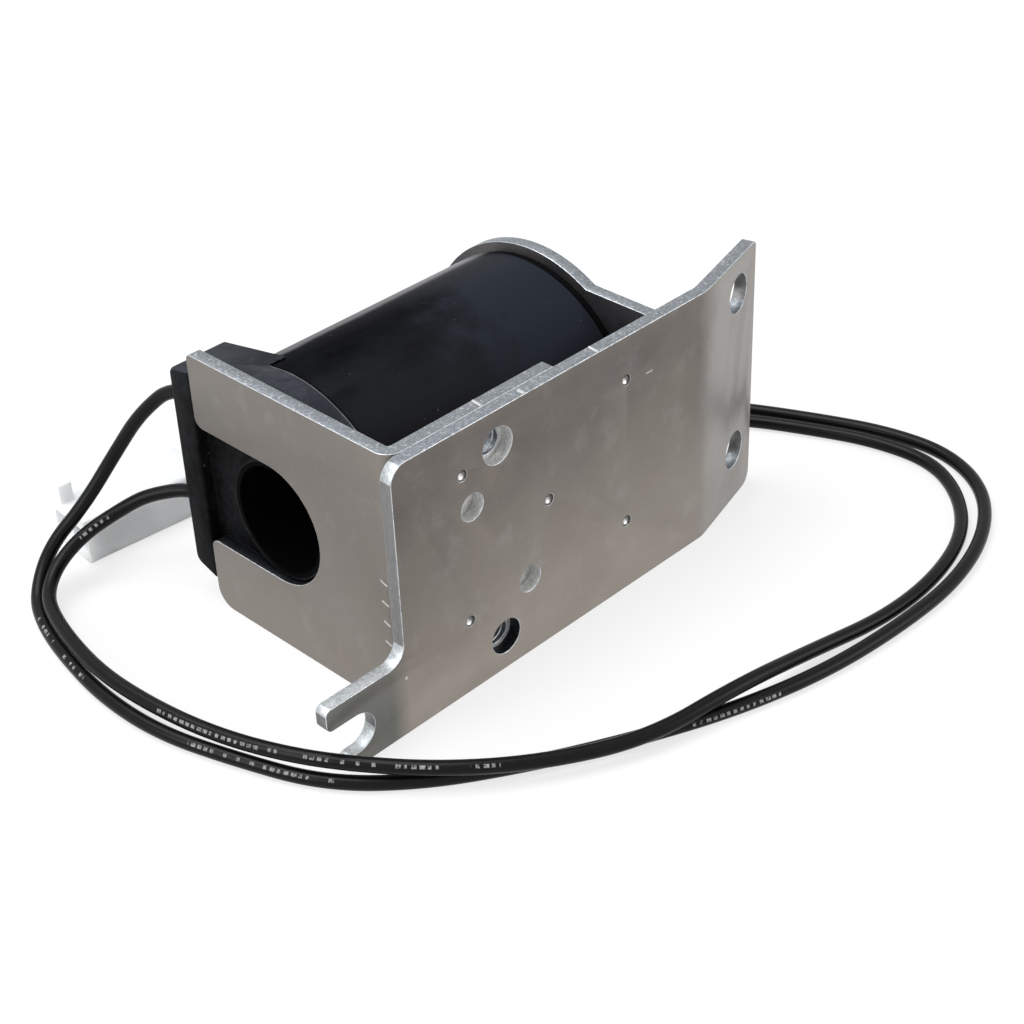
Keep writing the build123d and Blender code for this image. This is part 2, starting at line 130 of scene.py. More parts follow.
class Graph:
    """A node tree, with the one method that adds nodes to it."""

    def __init__(self, tree: bpy.types.NodeTree) -> None:
        """Start on a tree."""
        self.tree = tree

    def node(
        self,
        kind: str,
        settings: dict[str, object] | None = None,
        inputs: dict[str | int, object] | None = None,
        output: str | int = 0,
    ) -> Wire:
        """Add a node.

        Args:
            kind: The node's type.
            settings: Its settings.
            inputs: Values or wires for its sockets, by name or place.
            output: The output that is wanted.

        Returns:
            That output, or an end node's first input.
        """
        made = self.tree.nodes.new(kind)
        for name, value in (settings or {}).items():
            setattr(made, name, value)
        for name, value in (inputs or {}).items():
            if isinstance(value, Wire):
                self.tree.links.new(value.socket, made.inputs[name])
            else:
                made.inputs[name].default_value = value
        return Wire(self, (made.outputs if len(made.outputs) else made.inputs)[output])

    def split(self, vector: Wire) -> tuple[Wire, Wire, Wire]:
        """A vector's X, Y and Z."""
        across = self.node("ShaderNodeSeparateXYZ", inputs={0: vector}, output="X")
        return across, across.out("Y"), across.out("Z")


class Shader(Graph):
    """A new material's tree, with the patterns that the finishes share."""

    def __init__(self, name: str) -> None:
        """Make the material and clear its tree."""
        self.material = bpy.data.materials.new(name)
        self.material.use_nodes = True
        super().__init__(self.material.node_tree)
        self.tree.nodes.clear()
        self.place = self.node("ShaderNodeTexCoord", output="Object")

    def stretched(self, scale: Triple) -> Wire:
        """Object coordinates, scaled along each axis."""
        return self.node("ShaderNodeMapping", inputs={"Vector": self.place, "Scale": scale})

    def noise(
        self, size: float, detail: float = 2.0, rough: float = 0.5, at: Wire | None = None
    ) -> Wire:
        """Cloudy noise.

        Args:
            size: The size of its patches in millimetres, or in steps of at.
            detail: Finer layers.
            rough: How strong the finer layers are.
            at: Coordinates, if not the object's own.

        Returns:
            The noise, about 0.5.
        """
        scale = 1 / (size * MM) if at is None else 1 / size
        inputs = {"Vector": at or self.place, "Scale": scale, "Detail": detail, "Roughness": rough}
        return self.node("ShaderNodeTexNoise", inputs=inputs)

    def specks(self, spacing: float, radius: float) -> Wire:
        """Scattered round specks, as of dust.

        Args:
            spacing: Distance between specks in millimetres.
            radius: Radius of the largest, in millimetres.

        Returns:
            A mask that is 1 on the specks.
        """
        inputs = {"Vector": self.place, "Scale": 1 / (spacing * MM), "Randomness": 1.0}
        cell = self.node("ShaderNodeTexVoronoi", inputs=inputs)
        size = self.node("ShaderNodeSeparateColor", inputs={0: cell.out("Color")}, output=0)
        edge = size.above(0.35, 1.0) * (radius / spacing)
        return (edge - cell).above(0.0, 0.12 * radius / spacing)

    def mix(self, share: Wire | float, one: Wire | Colour, other: Wire | Colour) -> Wire:
        """Blend two colours.

        Args:
            share: How much of the second shows.
            one: The first.
            other: The second.

        Returns:
            The blend.
        """
        ends = [c if isinstance(c, Wire) else (*c, 1.0) for c in (one, other)]
        # Sockets 6 and 7 and output 2 are the ones for colours, which share their names.
        sockets = {0: share, 6: ends[0], 7: ends[1]}
        return self.node("ShaderNodeMix", {"data_type": "RGBA"}, sockets, 2)

    def relief(self, height: Wire, depth: float) -> Wire:
        """The normal of a relief whose height of 1 stands for a depth in millimetres."""
        inputs = {"Height": height, "Distance": depth * MM, "Strength": 1.0}
        return self.node("ShaderNodeBump", inputs=inputs)

    def surface(self, **inputs: object) -> None:
        """Finish the material with a Principled shader.

        Args:
            inputs: Its sockets, with _ for a space.
        """
        named = {name.replace("_", " "): value for name, value in inputs.items()}
        for name, value in named.items():
            if isinstance(value, tuple) and len(value) == 3:
                named[name] = (*value, 1.0)
        shown = self.node("ShaderNodeBsdfPrincipled", inputs=named)
        self.node("ShaderNodeOutputMaterial", inputs={"Surface": shown})


# Finishes


class Axis(Enum):
    """A level axis of the object, by its place in a vector."""

    X = 0
    Y = 1


@dataclass(frozen=True)
class Finish:
    """A finish that a piece can take, made once as a material of its name."""

    name: str

    def material(self) -> bpy.types.Material:
        """The finish's material, made at first use."""
        title = "finish_" + self.name
        made = bpy.data.materials.get(title)
        if made is None:
            shader = Shader(title)
            self.paint(shader)
            made = shader.material
        return made

    def paint(self, shader: Shader) -> None:
        """Build the finish in a new material's tree."""
        raise NotImplementedError


@dataclass(frozen=True)
class Stroke:
    """A short straight mark in a face, given in millimetres in the object's frame."""

    across: float
    up: float
    half: float = 0.8
    slope: float = 0.3
    width: float = 0.14
    repeats: int = 1
    pitch: float = 2.5

    def mask(self, across: Wire, up: Wire) -> Wire:
        """Where the mark is.

        Args:
            across: Millimetres across the face.
            up: Millimetres up it.

        Returns:
            A mask that is 1 on the mark, and on its repeats above it.
        """
        along = across - self.across
        rows = (up - self.up) / self.pitch + 0.5
        row = (rows.maths("FRACT") - 0.5) * self.pitch
        line = (self.width - (row - along * self.slope).maths("ABSOLUTE")).above(0.0, 0.06)
        ends = (self.half - along.maths("ABSOLUTE")).above(0.0, 0.1)
        inside = rows.maths("GREATER_THAN", 0.0) * rows.maths("LESS_THAN", float(self.repeats))
        return line * ends * inside


@dataclass(frozen=True)
class ZincSheet(Finish):
    """Zinc-plated sheet steel: satin and warm grey, a little cloudy, with painted shade that makes
    it darker toward its top and paler toward its foot.

    Its rear, from rear_from on along X, may be a lighter grey of painted light, and its front,
    before front_to, another grey.
    """

    # The top and foot greys make painted shade by height; the rear grey is painted light.
    top: Colour = (0.150, 0.137, 0.126)
    foot: Colour = (0.325, 0.292, 0.258)
    rear: Colour = (0.335, 0.320, 0.305)
    rear_from: float = 100.0
    front: Colour = (0.150, 0.155, 0.142)
    front_to: float = -100.0
    marks_across: Axis = Axis.X
    marks: tuple[Stroke, ...] = ()
    warm: Colour = (0.25, 0.21, 0.185)
    bright: Colour = (0.72, 0.73, 0.73)

    def paint(self, shader: Shader) -> None:
        """Painted shade by height, painted light on the rear, clouds in the plating, fine rolled
        grain, rubs, specks and the face's own marks.
        """
        place = shader.split(shader.place)
        along, up = place[0] / MM, place[2] / MM
        clouds = shader.noise(13.0, 3.0, 0.55)
        grain = shader.noise(0.2, 3.0, 0.7)
        rolled = shader.noise(1.0, 2.0, 0.6, shader.stretched((60, 60, 2200)))
        rubbed = shader.noise(4.0, 4.0, 0.6).above(0.55, 0.75)
        # Painted shade: darker toward the top, paler toward the foot.
        painted_shade_by_height = (up / PLATE_HEIGHT + clouds.waver(0.5)).above(0.08, 0.86)
        colour = shader.mix(painted_shade_by_height, self.foot, self.top)
        # Painted light: the rear grey, lighter where a bent flange faces the light another way.
        behind = (along + clouds.waver(6.0)).above(self.rear_from, self.rear_from + 4.0)
        colour = shader.mix(behind, colour, self.rear)
        ahead = (self.front_to - along).above(-1.2, 1.2)
        colour = shader.mix(ahead, colour, self.front)
        tint = shader.noise(6.0, 2.0, 0.5).above(0.3, 0.7)
        colour = shader.mix(tint * 0.28, colour, self.warm)
        bright = shader.specks(5.0, 0.2) * 0.7 + rubbed * 0.08 + grain.above(0.5, 0.8) * 0.05
        gloss = 0.34 + clouds * 0.12 + grain * 0.1
        height = grain * 0.6 + rolled * 0.4
        for mark in self.marks:
            mask = mark.mask(place[self.marks_across.value] / MM, up)
            bright = bright + mask * 0.55
            height = height - mask * 5.0
        colour = shader.mix(bright.clamp(), colour, self.bright)
        bumps = shader.relief(height, 0.01)
        shader.surface(Base_Color=colour, Metallic=0.9, Roughness=gloss, Normal=bumps)


@dataclass(frozen=True)
class ShearedEdge(Finish):
    """The cut edge of the sheet: a burnished band, then torn grain, thinly plated."""

    light: Colour = (0.24, 0.26, 0.285)
    dark: Colour = (0.16, 0.175, 0.19)
    glint: Colour = (0.62, 0.66, 0.69)
    grain: float = 0.5
    torn_depth: float = 0.03
    metal: float = 0.85

    def paint(self, shader: Shader) -> None:
        """Torn grain with bright specks over streaks that cross the edge."""
        torn = shader.noise(0.3, 4.0, 0.7)
        streaks = shader.noise(1.0, 2.0, 0.6, shader.stretched((2200, 2200, 600)))
        glints = shader.noise(0.36, 3.0, 0.75).above(0.55, 0.66)
        colour = shader.mix((torn * 0.6 + streaks * 0.4).above(0.4, 0.6), self.dark, self.light)
        colour = shader.mix(glints * self.grain, colour, self.glint)
        gloss = 0.36 + torn * 0.25
        bumps = shader.relief(torn * 0.7 + streaks * 0.3, self.torn_depth)
        shader.surface(Base_Color=colour, Metallic=self.metal, Roughness=gloss, Normal=bumps)


@dataclass(frozen=True)
class RubbedEdgeHighlight(Finish):
    """The corner between face and cut edge: bright plating from handling, and a painted highlight
    where the rounded edge meets the light.
    """

    bright: Colour = (0.62, 0.65, 0.68)
    dull: Colour = (0.36, 0.38, 0.40)

    def paint(self, shader: Shader) -> None:
        """Bright metal as a painted highlight, broken up along its length."""
        worn = shader.noise(0.7, 3.0, 0.65).above(0.36, 0.56)
        colour = shader.mix(worn, self.dull, self.bright)
        shader.surface(Base_Color=colour, Metallic=0.8, Roughness=0.4 - worn * 0.1)


@dataclass(frozen=True)
class BlackMoulding(Finish):
    """Black glass-filled moulding: fine mould texture, a little dust."""

    body: Colour = (0.0034, 0.0034, 0.0036)
    # Cloudy tone; the rim and top copies use it as part of their painted light.
    haze_and_sheen: Colour = (0.012, 0.013, 0.015)
    dust: Colour = (0.16, 0.17, 0.18)
    gloss: float = 0.5
    dust_share: float = 0.5
    shine: float = 0.03

    def paint(self, shader: Shader) -> None:
        """Mould texture, cloudy gloss and scattered dust."""
        texture = shader.noise(0.16, 2.0, 0.6)
        clouds = shader.noise(6.0, 3.0, 0.6)
        dusty = shader.noise(3.0, 3.0, 0.6).above(0.48, 0.62)
        specks = shader.specks(0.9, 0.16) * dusty * self.dust_share
        haze_and_sheen = (clouds * 0.6 + shader.noise(0.9, 3.0, 0.6) * 0.4).above(0.4, 0.62)
        colour = shader.mix(haze_and_sheen, self.body, self.haze_and_sheen)
        colour = shader.mix(specks.clamp(), colour, self.dust)
        shader.surface(
            Base_Color=colour,
            Roughness=self.gloss + clouds * 0.16 - 0.08 + specks * 0.3,
            Specular_IOR_Level=self.shine,
            Normal=shader.relief(texture, 0.01),
        )


@dataclass(frozen=True)
class CoverPlastic(Finish):
    """The coil's glossy black cover: rub marks, a painted bluish sheen toward its rear, a pale
    painted reflection on its far side up to its top angle in degrees above the level, painted shade
    just above it and painted light over its top on the near side."""

    body: Colour = (0.0016, 0.0018, 0.0024)
    # Painted light over the top on the near side.
    lower: Colour = (0.0125, 0.013, 0.0155)
    # Painted bluish sheen.
    bluish_sheen: Colour = (0.016, 0.019, 0.026)
    # Painted reflection on the far side.
    haze_and_sheen: Colour = (0.125, 0.125, 0.133)
    dust: Colour = (0.16, 0.17, 0.18)
    sheen_from: float = -2.0
    sheen_to: float = 7.0
    reflection_top: float = 70.0
    reflection_fade: float = 4.0
    axis_y: float = 2.05
    shine: float = 0.015

    def paint(self, shader: Shader) -> None:
        """Gloss broken by rubs, a few specks of dust, and painted reflection, shade, light and
        sheen.
        """
        along, aside, up = (part / MM for part in shader.split(shader.place))
        around = (up - AXIS_Z).maths("ARCTAN2", aside - self.axis_y) * (180 / pi)
        rubs = shader.noise(1.0, 4.0, 0.6, shader.stretched((40, 260, 260)))
        clouds = shader.noise(6.0, 4.0, 0.6)
        # Painted sheen toward the rear, mixed with rub marks.
        behind = (along + clouds.waver(26.0)).above(self.sheen_from, self.sheen_to)
        low = (clouds * 0.4 + rubs * 0.6).above(0.40, 0.7)
        dusty = shader.noise(2.6, 3.0, 0.6).above(0.5, 0.66)
        specks = shader.specks(1.1, 0.12) * dusty
        # Painted reflection on the far side, a band up to the top angle.
        edge = self.reflection_top + clouds.waver(6.0)
        painted_reflection = (edge - around).above(0.0, self.reflection_fade) * (0.72 + rubs * 0.5)
        # Painted shade: no sheen in and just above the painted reflection.
        dark = (edge - around).above(-16.0, -2.0) * 0.8
        rubs_and_sheen = (behind * 0.9 + low * 0.28) * (1.0 - dark)
        # Painted light over the top on the near side.
        painted_near_light = (around + clouds.waver(20.0)).above(85.0, 125.0)
        colour = shader.mix(painted_near_light, self.body, self.lower)
        colour = shader.mix(rubs_and_sheen.clamp(), colour, self.bluish_sheen)
        colour = shader.mix(painted_reflection.clamp(), colour, self.haze_and_sheen)
        colour = shader.mix(specks * 0.6, colour, self.dust)
        gloss = 0.22 + clouds.above(0.4, 0.7) * 0.1 + rubs * 0.08 + specks * 0.3
        bumps = shader.relief(rubs * 0.5 + shader.noise(3.0, 1.0) * 0.5, 0.01)
        shader.surface(
            Base_Color=colour, Roughness=gloss, Specular_IOR_Level=self.shine, Normal=bumps
        )


@dataclass(frozen=True)
class LeadInsulation(Finish):
    """Black vinyl insulation with a broken line of plain white printed ticks."""

    body: Colour = (0.0042, 0.0042, 0.005)
    ink: Colour = (0.34, 0.34, 0.34)
    prints: tuple[Triple, ...] = ()
    tick: float = 0.8
    print_height: float = 0.09
    shine: float = 0.13

    def paint(self, shader: Shader) -> None:
        """Ticks along the lead's own length, with worn ink, over extruded vinyl."""
        along, turn, _ = shader.split(shader.node("ShaderNodeUVMap", {"uv_map": LEAD_MAP}))
        ink = self.ticks(shader, along / MM, turn).clamp()
        wear = shader.noise(0.3, 3.0, 0.7).above(0.34, 0.6)
        skin = shader.noise(0.5, 3.0, 0.6)
        colour = shader.mix(ink * wear * 0.9, self.body, self.ink)
        gloss = 0.22 + skin * 0.14 + ink * 0.16
        bumps = shader.relief(skin * 0.6 + ink * 0.4, 0.01)
        shader.surface(
            Base_Color=colour, Roughness=gloss, Specular_IOR_Level=self.shine, Normal=bumps
        )

    def ticks(self, shader: Shader, length: Wire, turn: Wire) -> Wire:
        """The printed line of ticks.

        Args:
            shader: The tree.
            length: Millimetres along the lead.
            turn: Place round the lead, from 0 to 1.

        Returns:
            A mask that is 1 on the ink.
        """
        place = length / self.tick
        cell = place.maths("FLOOR")
        chance = shader.node("ShaderNodeTexWhiteNoise", {"noise_dimensions": "1D"}, {"W": cell})
        inside = place.maths("FRACT")
        wide = 0.35 + chance * 0.45
        bar = (wide - inside).above(0.0, 0.08) * chance.above(0.12, 0.14)
        printed = bar * 0.0
        for start, stretch, middle in self.prints:
            here = length.maths("GREATER_THAN", start)
            here = here * length.maths("LESS_THAN", start + stretch)
            band = (self.print_height / 2 - (turn - middle).maths("ABSOLUTE")).above(0.0, 0.015)
            printed = printed + bar * here * band
        return printed


@dataclass(frozen=True)
class PlugNylon(Finish):
    """Natural nylon: milky, softly translucent, a little glossy."""

    milk: Colour = (0.86, 0.88, 0.895)
    shade: Colour = (0.80, 0.825, 0.845)

    def paint(self, shader: Shader) -> None:
        """Milky clouds under a faint moulded texture."""
        clouds = shader.noise(3.5, 2.0, 0.5)
        colour = shader.mix(clouds.above(0.3, 0.7), self.shade, self.milk)
        bumps = shader.relief(shader.noise(0.4, 2.0), 0.008)
        shader.surface(
            Base_Color=colour,
            Roughness=0.34 + clouds * 0.1,
            Subsurface_Weight=0.6,
            Subsurface_Scale=0.003,
            Subsurface_Radius=[1.0, 1.0, 1.0],
            Normal=bumps,
        )


@dataclass(frozen=True)
class PlainMetal(Finish):
    """Turned, drawn or plated metal of one colour, with fine machining lines."""

    body: Colour = (0.5, 0.5, 0.5)
    gloss: float = 0.3
    lines: Triple = (3000.0, 300.0, 300.0)
    deep: float = 0.72

    def paint(self, shader: Shader) -> None:
        """Machining lines and slightly uneven gloss."""
        lines = shader.noise(1.0, 3.0, 0.6, shader.stretched(self.lines))
        clouds = shader.noise(3.0, 3.0, 0.6)
        deep = tuple(part * self.deep for part in self.body)
        colour = shader.mix((lines * 0.5 + clouds * 0.5).above(0.35, 0.65), deep, self.body)
        bumps = shader.relief(lines, 0.008)
        shader.surface(
            Base_Color=colour, Metallic=0.95, Roughness=self.gloss + clouds * 0.12, Normal=bumps
        )


@dataclass(frozen=True)
class DimpleMetal(Finish):
    """The bowl of a clinch dimple: a painted highlight at the lower left, painted shade at the
    upper right.

    The middle dimple stands at middle_x along X.
    """

    bright: Colour = (0.80, 0.80, 0.79)
    shade: Colour = (0.09, 0.085, 0.08)
    middle_x: float = -3.057

    def paint(self, shader: Shader) -> None:
        """Painted highlight and shade, with a dark painted ring, by the place within each of the
        dimples, which stand on a grid.
        """
        x, _, z = shader.split(shader.place)
        aside, up = x / MM - self.middle_x, z / MM - DIMPLE_MIDDLE_Z
        aside = (aside - (aside / DIMPLE_STEP_X).maths("ROUND") * DIMPLE_STEP_X) / DIMPLE_R
        up = (up - (up / DIMPLE_STEP_Z).maths("ROUND") * DIMPLE_STEP_Z) / DIMPLE_R
        worn = shader.noise(0.3, 3.0, 0.6)
        # Painted shade toward the upper right and a dark painted ring at the rim.
        dark = (aside * 0.8 + up * 0.6 + worn.waver(0.6)).above(-0.15, 0.35)
        ring = (aside * aside + up * up).above(0.55, 0.8) * 0.8
        colour = shader.mix((dark * 0.85 + ring).clamp(), self.bright, self.shade)
        shader.surface(Base_Color=colour, Metallic=0.8, Roughness=0.25 + worn * 0.1)


@dataclass(frozen=True)
class PlainPlastic(Finish):
    """Tape, rubber or thin plastic of one colour, with fine texture."""

    body: Colour = (0.1, 0.1, 0.1)
    gloss: float = 0.5
    grain: float = 0.3
    shine: float = 0.4
    deep: float = 0.7

    def paint(self, shader: Shader) -> None:
        """Fine texture and slightly uneven colour and gloss."""
        fine = shader.noise(self.grain, 3.0, 0.6)
        clouds = shader.noise(2.5, 3.0, 0.6)
        deep = tuple(part * self.deep for part in self.body)
        colour = shader.mix((clouds * 0.6 + fine * 0.4).above(0.35, 0.65), deep, self.body)
        bumps = shader.relief(fine, 0.015)
        shader.surface(
            Base_Color=colour,
            Roughness=self.gloss + clouds * 0.12,
            Specular_IOR_Level=self.shine,
            Normal=bumps,
        )


STAMPED_TICKS = Stroke(
    across=-15.4, up=9.2, half=0.55, slope=0.35, width=0.16, repeats=4, pitch=2.6
)
SCRATCH = Stroke(across=13.2, up=27.0, half=0.6, slope=0.0, width=0.1)
# Each sheet's top and foot greys are painted shade by height; the plate's rear grey is painted
# light on its bent flange.
FRAME_ZINC = ZincSheet(
    "zinc_frame",
    top=(0.190, 0.175, 0.161),
    foot=(0.238, 0.213, 0.190),
    marks_across=Axis.Y,
    marks=(STAMPED_TICKS,),
)
PLATE_ZINC = ZincSheet(
    "zinc_plate",
    top=(0.140, 0.126, 0.116),
    foot=(0.335, 0.300, 0.266),
    rear=(0.305, 0.292, 0.280),
    rear_from=22.0,
    front_to=-26.0,
    marks=(SCRATCH,),
)
# Painted shade: the frame's inward faces, in the narrow space by the coil, near black.
SHADED_INNER_ZINC = ZincSheet("zinc_inside_painted_shade", (0.040, 0.042, 0.050), (0.040, 0.042, 0.050))
SHEARED = ShearedEdge("sheared_edge")
SMOOTH_CUT = ShearedEdge(
    "smooth_cut", (0.225, 0.225, 0.225), (0.185, 0.185, 0.185), (0.36, 0.37, 0.38), 0.25, 0.008
)
DARK_CUT = ShearedEdge(
    "shaded_cut", (0.020, 0.022, 0.027), (0.012, 0.013, 0.016), (0.07, 0.075, 0.085), 0.4, 0.02
)
FRONT_CUT = ShearedEdge(
    "front_plate_cut", (0.205, 0.225, 0.255), (0.165, 0.18, 0.205), (0.45, 0.48, 0.52), 0.3, 0.012
)
HOOK_TOP = ShearedEdge(
    "hook_top", (0.52, 0.55, 0.57), (0.36, 0.385, 0.40), (0.80, 0.83, 0.85), 0.5, 0.02
)
# Painted light on hole walls and on the leaf's face seen through the plate's pin holes.
LIT_HOLE_WALL = ShearedEdge(
    "hole_wall_painted_light", (0.72, 0.72, 0.71), (0.50, 0.50, 0.49), (0.90, 0.90, 0.90), 0.6, 0.02, 0.35
)
# Worn bright edges and a painted highlight, for the bevels and the screw threads.
RUBBED_HIGHLIGHT = RubbedEdgeHighlight("rubbed_edge_highlight")
HEAD_PLASTIC = BlackMoulding("bobbin_moulding")
# Painted light on the head's upward faces, with more dust specks.
HEAD_DUSTY_LIT = BlackMoulding(
    "bobbin_dusty_lit_top", (0.021, 0.024, 0.030), (0.042, 0.047, 0.056), gloss=0.55, dust_share=0.8
)
# Painted highlight on the head's rounded rear edge by the cover.
HEAD_RIM_HIGHLIGHT = BlackMoulding("bobbin_rim_highlight", (0.10, 0.10, 0.105), (0.19, 0.19, 0.19), gloss=0.5)
COVER_PLASTIC = CoverPlastic("coil_cover_plastic")
NYLON = PlugNylon("plug_nylon")
SLEEVE = PlainPlastic("sleeve_plastic", (0.0012, 0.0012, 0.0013), 0.6, 0.25, 0.02)
CORE = PlainMetal("core_steel", (0.46, 0.45, 0.44), 0.26, (4000.0, 200.0, 200.0))
COPPER = PlainMetal("bare_copper", (0.62, 0.30, 0.19), 0.24)
DIMPLE = DimpleMetal("dimple_painted_light")
BURR = PlainMetal("bright_burr", (0.86, 0.87, 0.87), 0.12, (300.0, 300.0, 3000.0))
ENAMEL = PlainMetal("enamelled_copper", (0.42, 0.17, 0.09), 0.3, (2500.0, 200.0, 200.0))
TINNED = PlainMetal("tinned_brass", (0.62, 0.61, 0.58), 0.28)
TAPE = PlainPlastic("winding_tape", (0.52, 0.40, 0.10), 0.34, 0.6)
RUBBER = PlainPlastic("cushion_rubber", (0.003, 0.003, 0.0035), 0.66, 0.25, 0.04)
SPLICE_SLEEVE = PlainPlastic("splice_sleeve", (0.45, 0.42, 0.36), 0.4, 0.3)


# Meshes


# The least part of a face's normal along the way that it looks: for the bent frame, for the
# flat plate, and for a face that only leans that way.
FACING = 0.5
SQUARE_ON = 0.7
LEANING = 0.2
# Corners of the CAD's triangles that are nearer than this are one, in millimetres.
WELD = 0.002


def placed(name: str, data: bpy.types.ID) -> bpy.types.Object:
    """A new object in the scene, at the origin."""
    made = bpy.data.objects.new(name, data)
    bpy.context.scene.collection.objects.link(made)
    return made


def settled(built: bmesh.types.BMesh, name: str) -> bpy.types.Mesh:
    """A new mesh from a finished bmesh, which is freed."""
    mesh = bpy.data.meshes.new(name)
    built.to_mesh(mesh)
    built.free()
    return mesh


def keep(mesh: bpy.types.Mesh, name: str, finishes: list[Finish]) -> bpy.types.Object:
    """Put a mesh in the scene as a finished piece at the origin.

    Args:
        mesh: The mesh, in place.
        name: The piece's name.
        finishes: Its finishes, by material index.

    Returns:
        The piece.
    """
    mesh.name = name
    if not len(mesh.materials):
        for finish in finishes:
            mesh.materials.append(finish.material())
    return placed(name, mesh)


def applied(piece: bpy.types.Object) -> bpy.types.Mesh:
    """The piece's mesh with its modifiers worked in, and the piece itself removed."""
    shown = piece.evaluated_get(bpy.context.evaluated_depsgraph_get())
    mesh = bpy.data.meshes.new_from_object(shown)
    bpy.data.objects.remove(piece)
    return mesh


def merged(node: str, flat: float = 0.3) -> bpy.types.Mesh:
    """A copy of a CAD node's mesh, its triangles joined into faces.

    Args:
        node: The node's name.
        flat: Largest angle between triangles of one face, in degrees.

    Returns:
        The new mesh.
    """
    built = bmesh.new()
    built.from_mesh(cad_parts[node].data)
    bmesh.ops.remove_doubles(built, verts=built.verts, dist=WELD * MM)
    bmesh.ops.dissolve_limit(
        built, angle_limit=radians(flat), verts=built.verts, edges=built.edges, delimit={"NORMAL"}
    )
    return settled(built, node)


def eased(
    mesh: bpy.types.Mesh,
    name: str,
    width: float,
    finishes: list[Finish],
    edge_finish: int = -1,
    angle: float = 32.0,
    chosen: Callable[[Vector, Vector], bool] | None = None,
) -> bpy.types.Object:
    """A piece with its sharp edges rounded over.

    Args:
        mesh: The sharp mesh.
        name: The piece's name.
        width: How far the rounding reaches, in millimetres.
        finishes: The piece's finishes.
        edge_finish: Which of them the rounded edges take, or -1 for their neighbours'.
        angle: The least angle of an edge that is rounded, in degrees.
        chosen: Which edges are rounded instead, by their two ends.

    Returns:
        The piece.
    """
    rough = keep(mesh, name + "_sharp", finishes)
    bevel = rough.modifiers.new("ease", "BEVEL")
    bevel.width = width * MM
    bevel.segments = 2
    bevel.limit_method = "ANGLE"
    bevel.angle_limit = radians(angle)
    if chosen:
        bevel.limit_method = "WEIGHT"
        bevel.use_clamp_overlap = False
        built = bmesh.new()
        built.from_mesh(mesh)
        weight = built.edges.layers.float.new("bevel_weight_edge")
        for edge in built.edges:
            if edge.calc_face_angle(0.0) > radians(angle):
                edge[weight] = float(chosen(*(vertex.co for vertex in edge.verts)))
        built.to_mesh(mesh)
        built.free()
    bevel.harden_normals = True
    bevel.material = edge_finish
    mesh.shade_smooth()
    return keep(applied(rough), name, finishes)


def dress(node: str, finish: Finish) -> None:
    """Give a CAD node that shows as it is its finish."""
    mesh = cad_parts[node].data
    mesh.materials.clear()
    mesh.materials.append(finish.material())
    log.info("%s: %s", node, finish.name)


def hand_over(piece: bpy.types.Object, slot: str, *nodes: str) -> None:
    """Let a piece ride on the solenoid, in place of CAD nodes where it stands for any.

    Args:
        piece: The piece.
        slot: Not used.
        nodes: The nodes that it stands for.
    """
    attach(piece, SOLENOID)
    if nodes:
        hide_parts(*nodes)
    log.info("%s: %d faces on %s", piece.name, len(piece.data.polygons), SOLENOID)


def mark_faces(mesh: bpy.types.Mesh, index: Callable[[Vector, Vector], Enum]) -> None:
    """Give each face the material index that its middle and normal call for."""
    for face in mesh.polygons:
        face.material_index = index(face.center, face.normal).value


class Recipe:
    """A Geometry Nodes tree that sets one shape out on points and makes a mesh of it."""

    def __init__(self, name: str) -> None:
        """Start the tree.

        Args:
            name: The tree's name.
        """
        self.tree = bpy.data.node_groups.new(name, "GeometryNodeTree")
        self.graph = Graph(self.tree)
        self.given = self.graph.node("NodeGroupInput")
        self.values: dict[str, float] = {}

    def size(self, name: str, value: float) -> Wire:
        """Add a named size.

        Args:
            name: The input's name.
            value: Its value, in metres.

        Returns:
            The input inside the tree.
        """
        socket = self.tree.interface.new_socket(name, in_out="INPUT", socket_type="NodeSocketFloat")
        socket.default_value = value
        self.values[socket.identifier] = value
        return self.given.out(name)

    def cook(self, points: Wire, shape: Wire, finish: Finish) -> bpy.types.Mesh:
        """Set the shape out on the points.

        Args:
            points: The points.
            shape: The shape.
            finish: Its finish.

        Returns:
            The finished mesh.
        """
        inputs = {"Points": points, "Instance": shape}
        spread = self.graph.node("GeometryNodeInstanceOnPoints", inputs=inputs)
        real = self.graph.node("GeometryNodeRealizeInstances", inputs={"Geometry": spread})
        inputs = {"Geometry": real, "Material": finish.material()}
        dressed = self.graph.node("GeometryNodeSetMaterial", inputs=inputs)
        sockets = self.tree.interface
        sockets.new_socket("Geometry", in_out="OUTPUT", socket_type="NodeSocketGeometry")
        self.graph.node("NodeGroupOutput", inputs={"Geometry": dressed})
        seed = keep(bpy.data.meshes.new(self.tree.name), self.tree.name + "_seed", [finish])
        modifier = seed.modifiers.new("nodes", "NODES")
        modifier.node_group = self.tree
        for identifier, value in self.values.items():
            modifier[identifier] = value
        return applied(seed)


# The sheet steel


class Sheet(Enum):
    """Material indices on a sheet steel piece."""

    FACE = 0
    CUT = 1
    RUBBED_HIGHLIGHT = 2
    SHADED = 3
    SMOOTH = 4
    WALL = 5
    INSIDE = 6
    FRONT_CUT = 7
    HOOK_TOP = 8


STEEL = [
    FRAME_ZINC,
    SHEARED,
    RUBBED_HIGHLIGHT,
    DARK_CUT,
    SMOOTH_CUT,
    LIT_HOLE_WALL,
    SHADED_INNER_ZINC,
    FRONT_CUT,
    HOOK_TOP,
]


@dataclass(frozen=True)
class Burr:
    """A ridge that the shears left across a top edge, in millimetres from the front face and
    from the mounting face."""

    along: float
    start: float
    end: float
    wide: float
    high: float


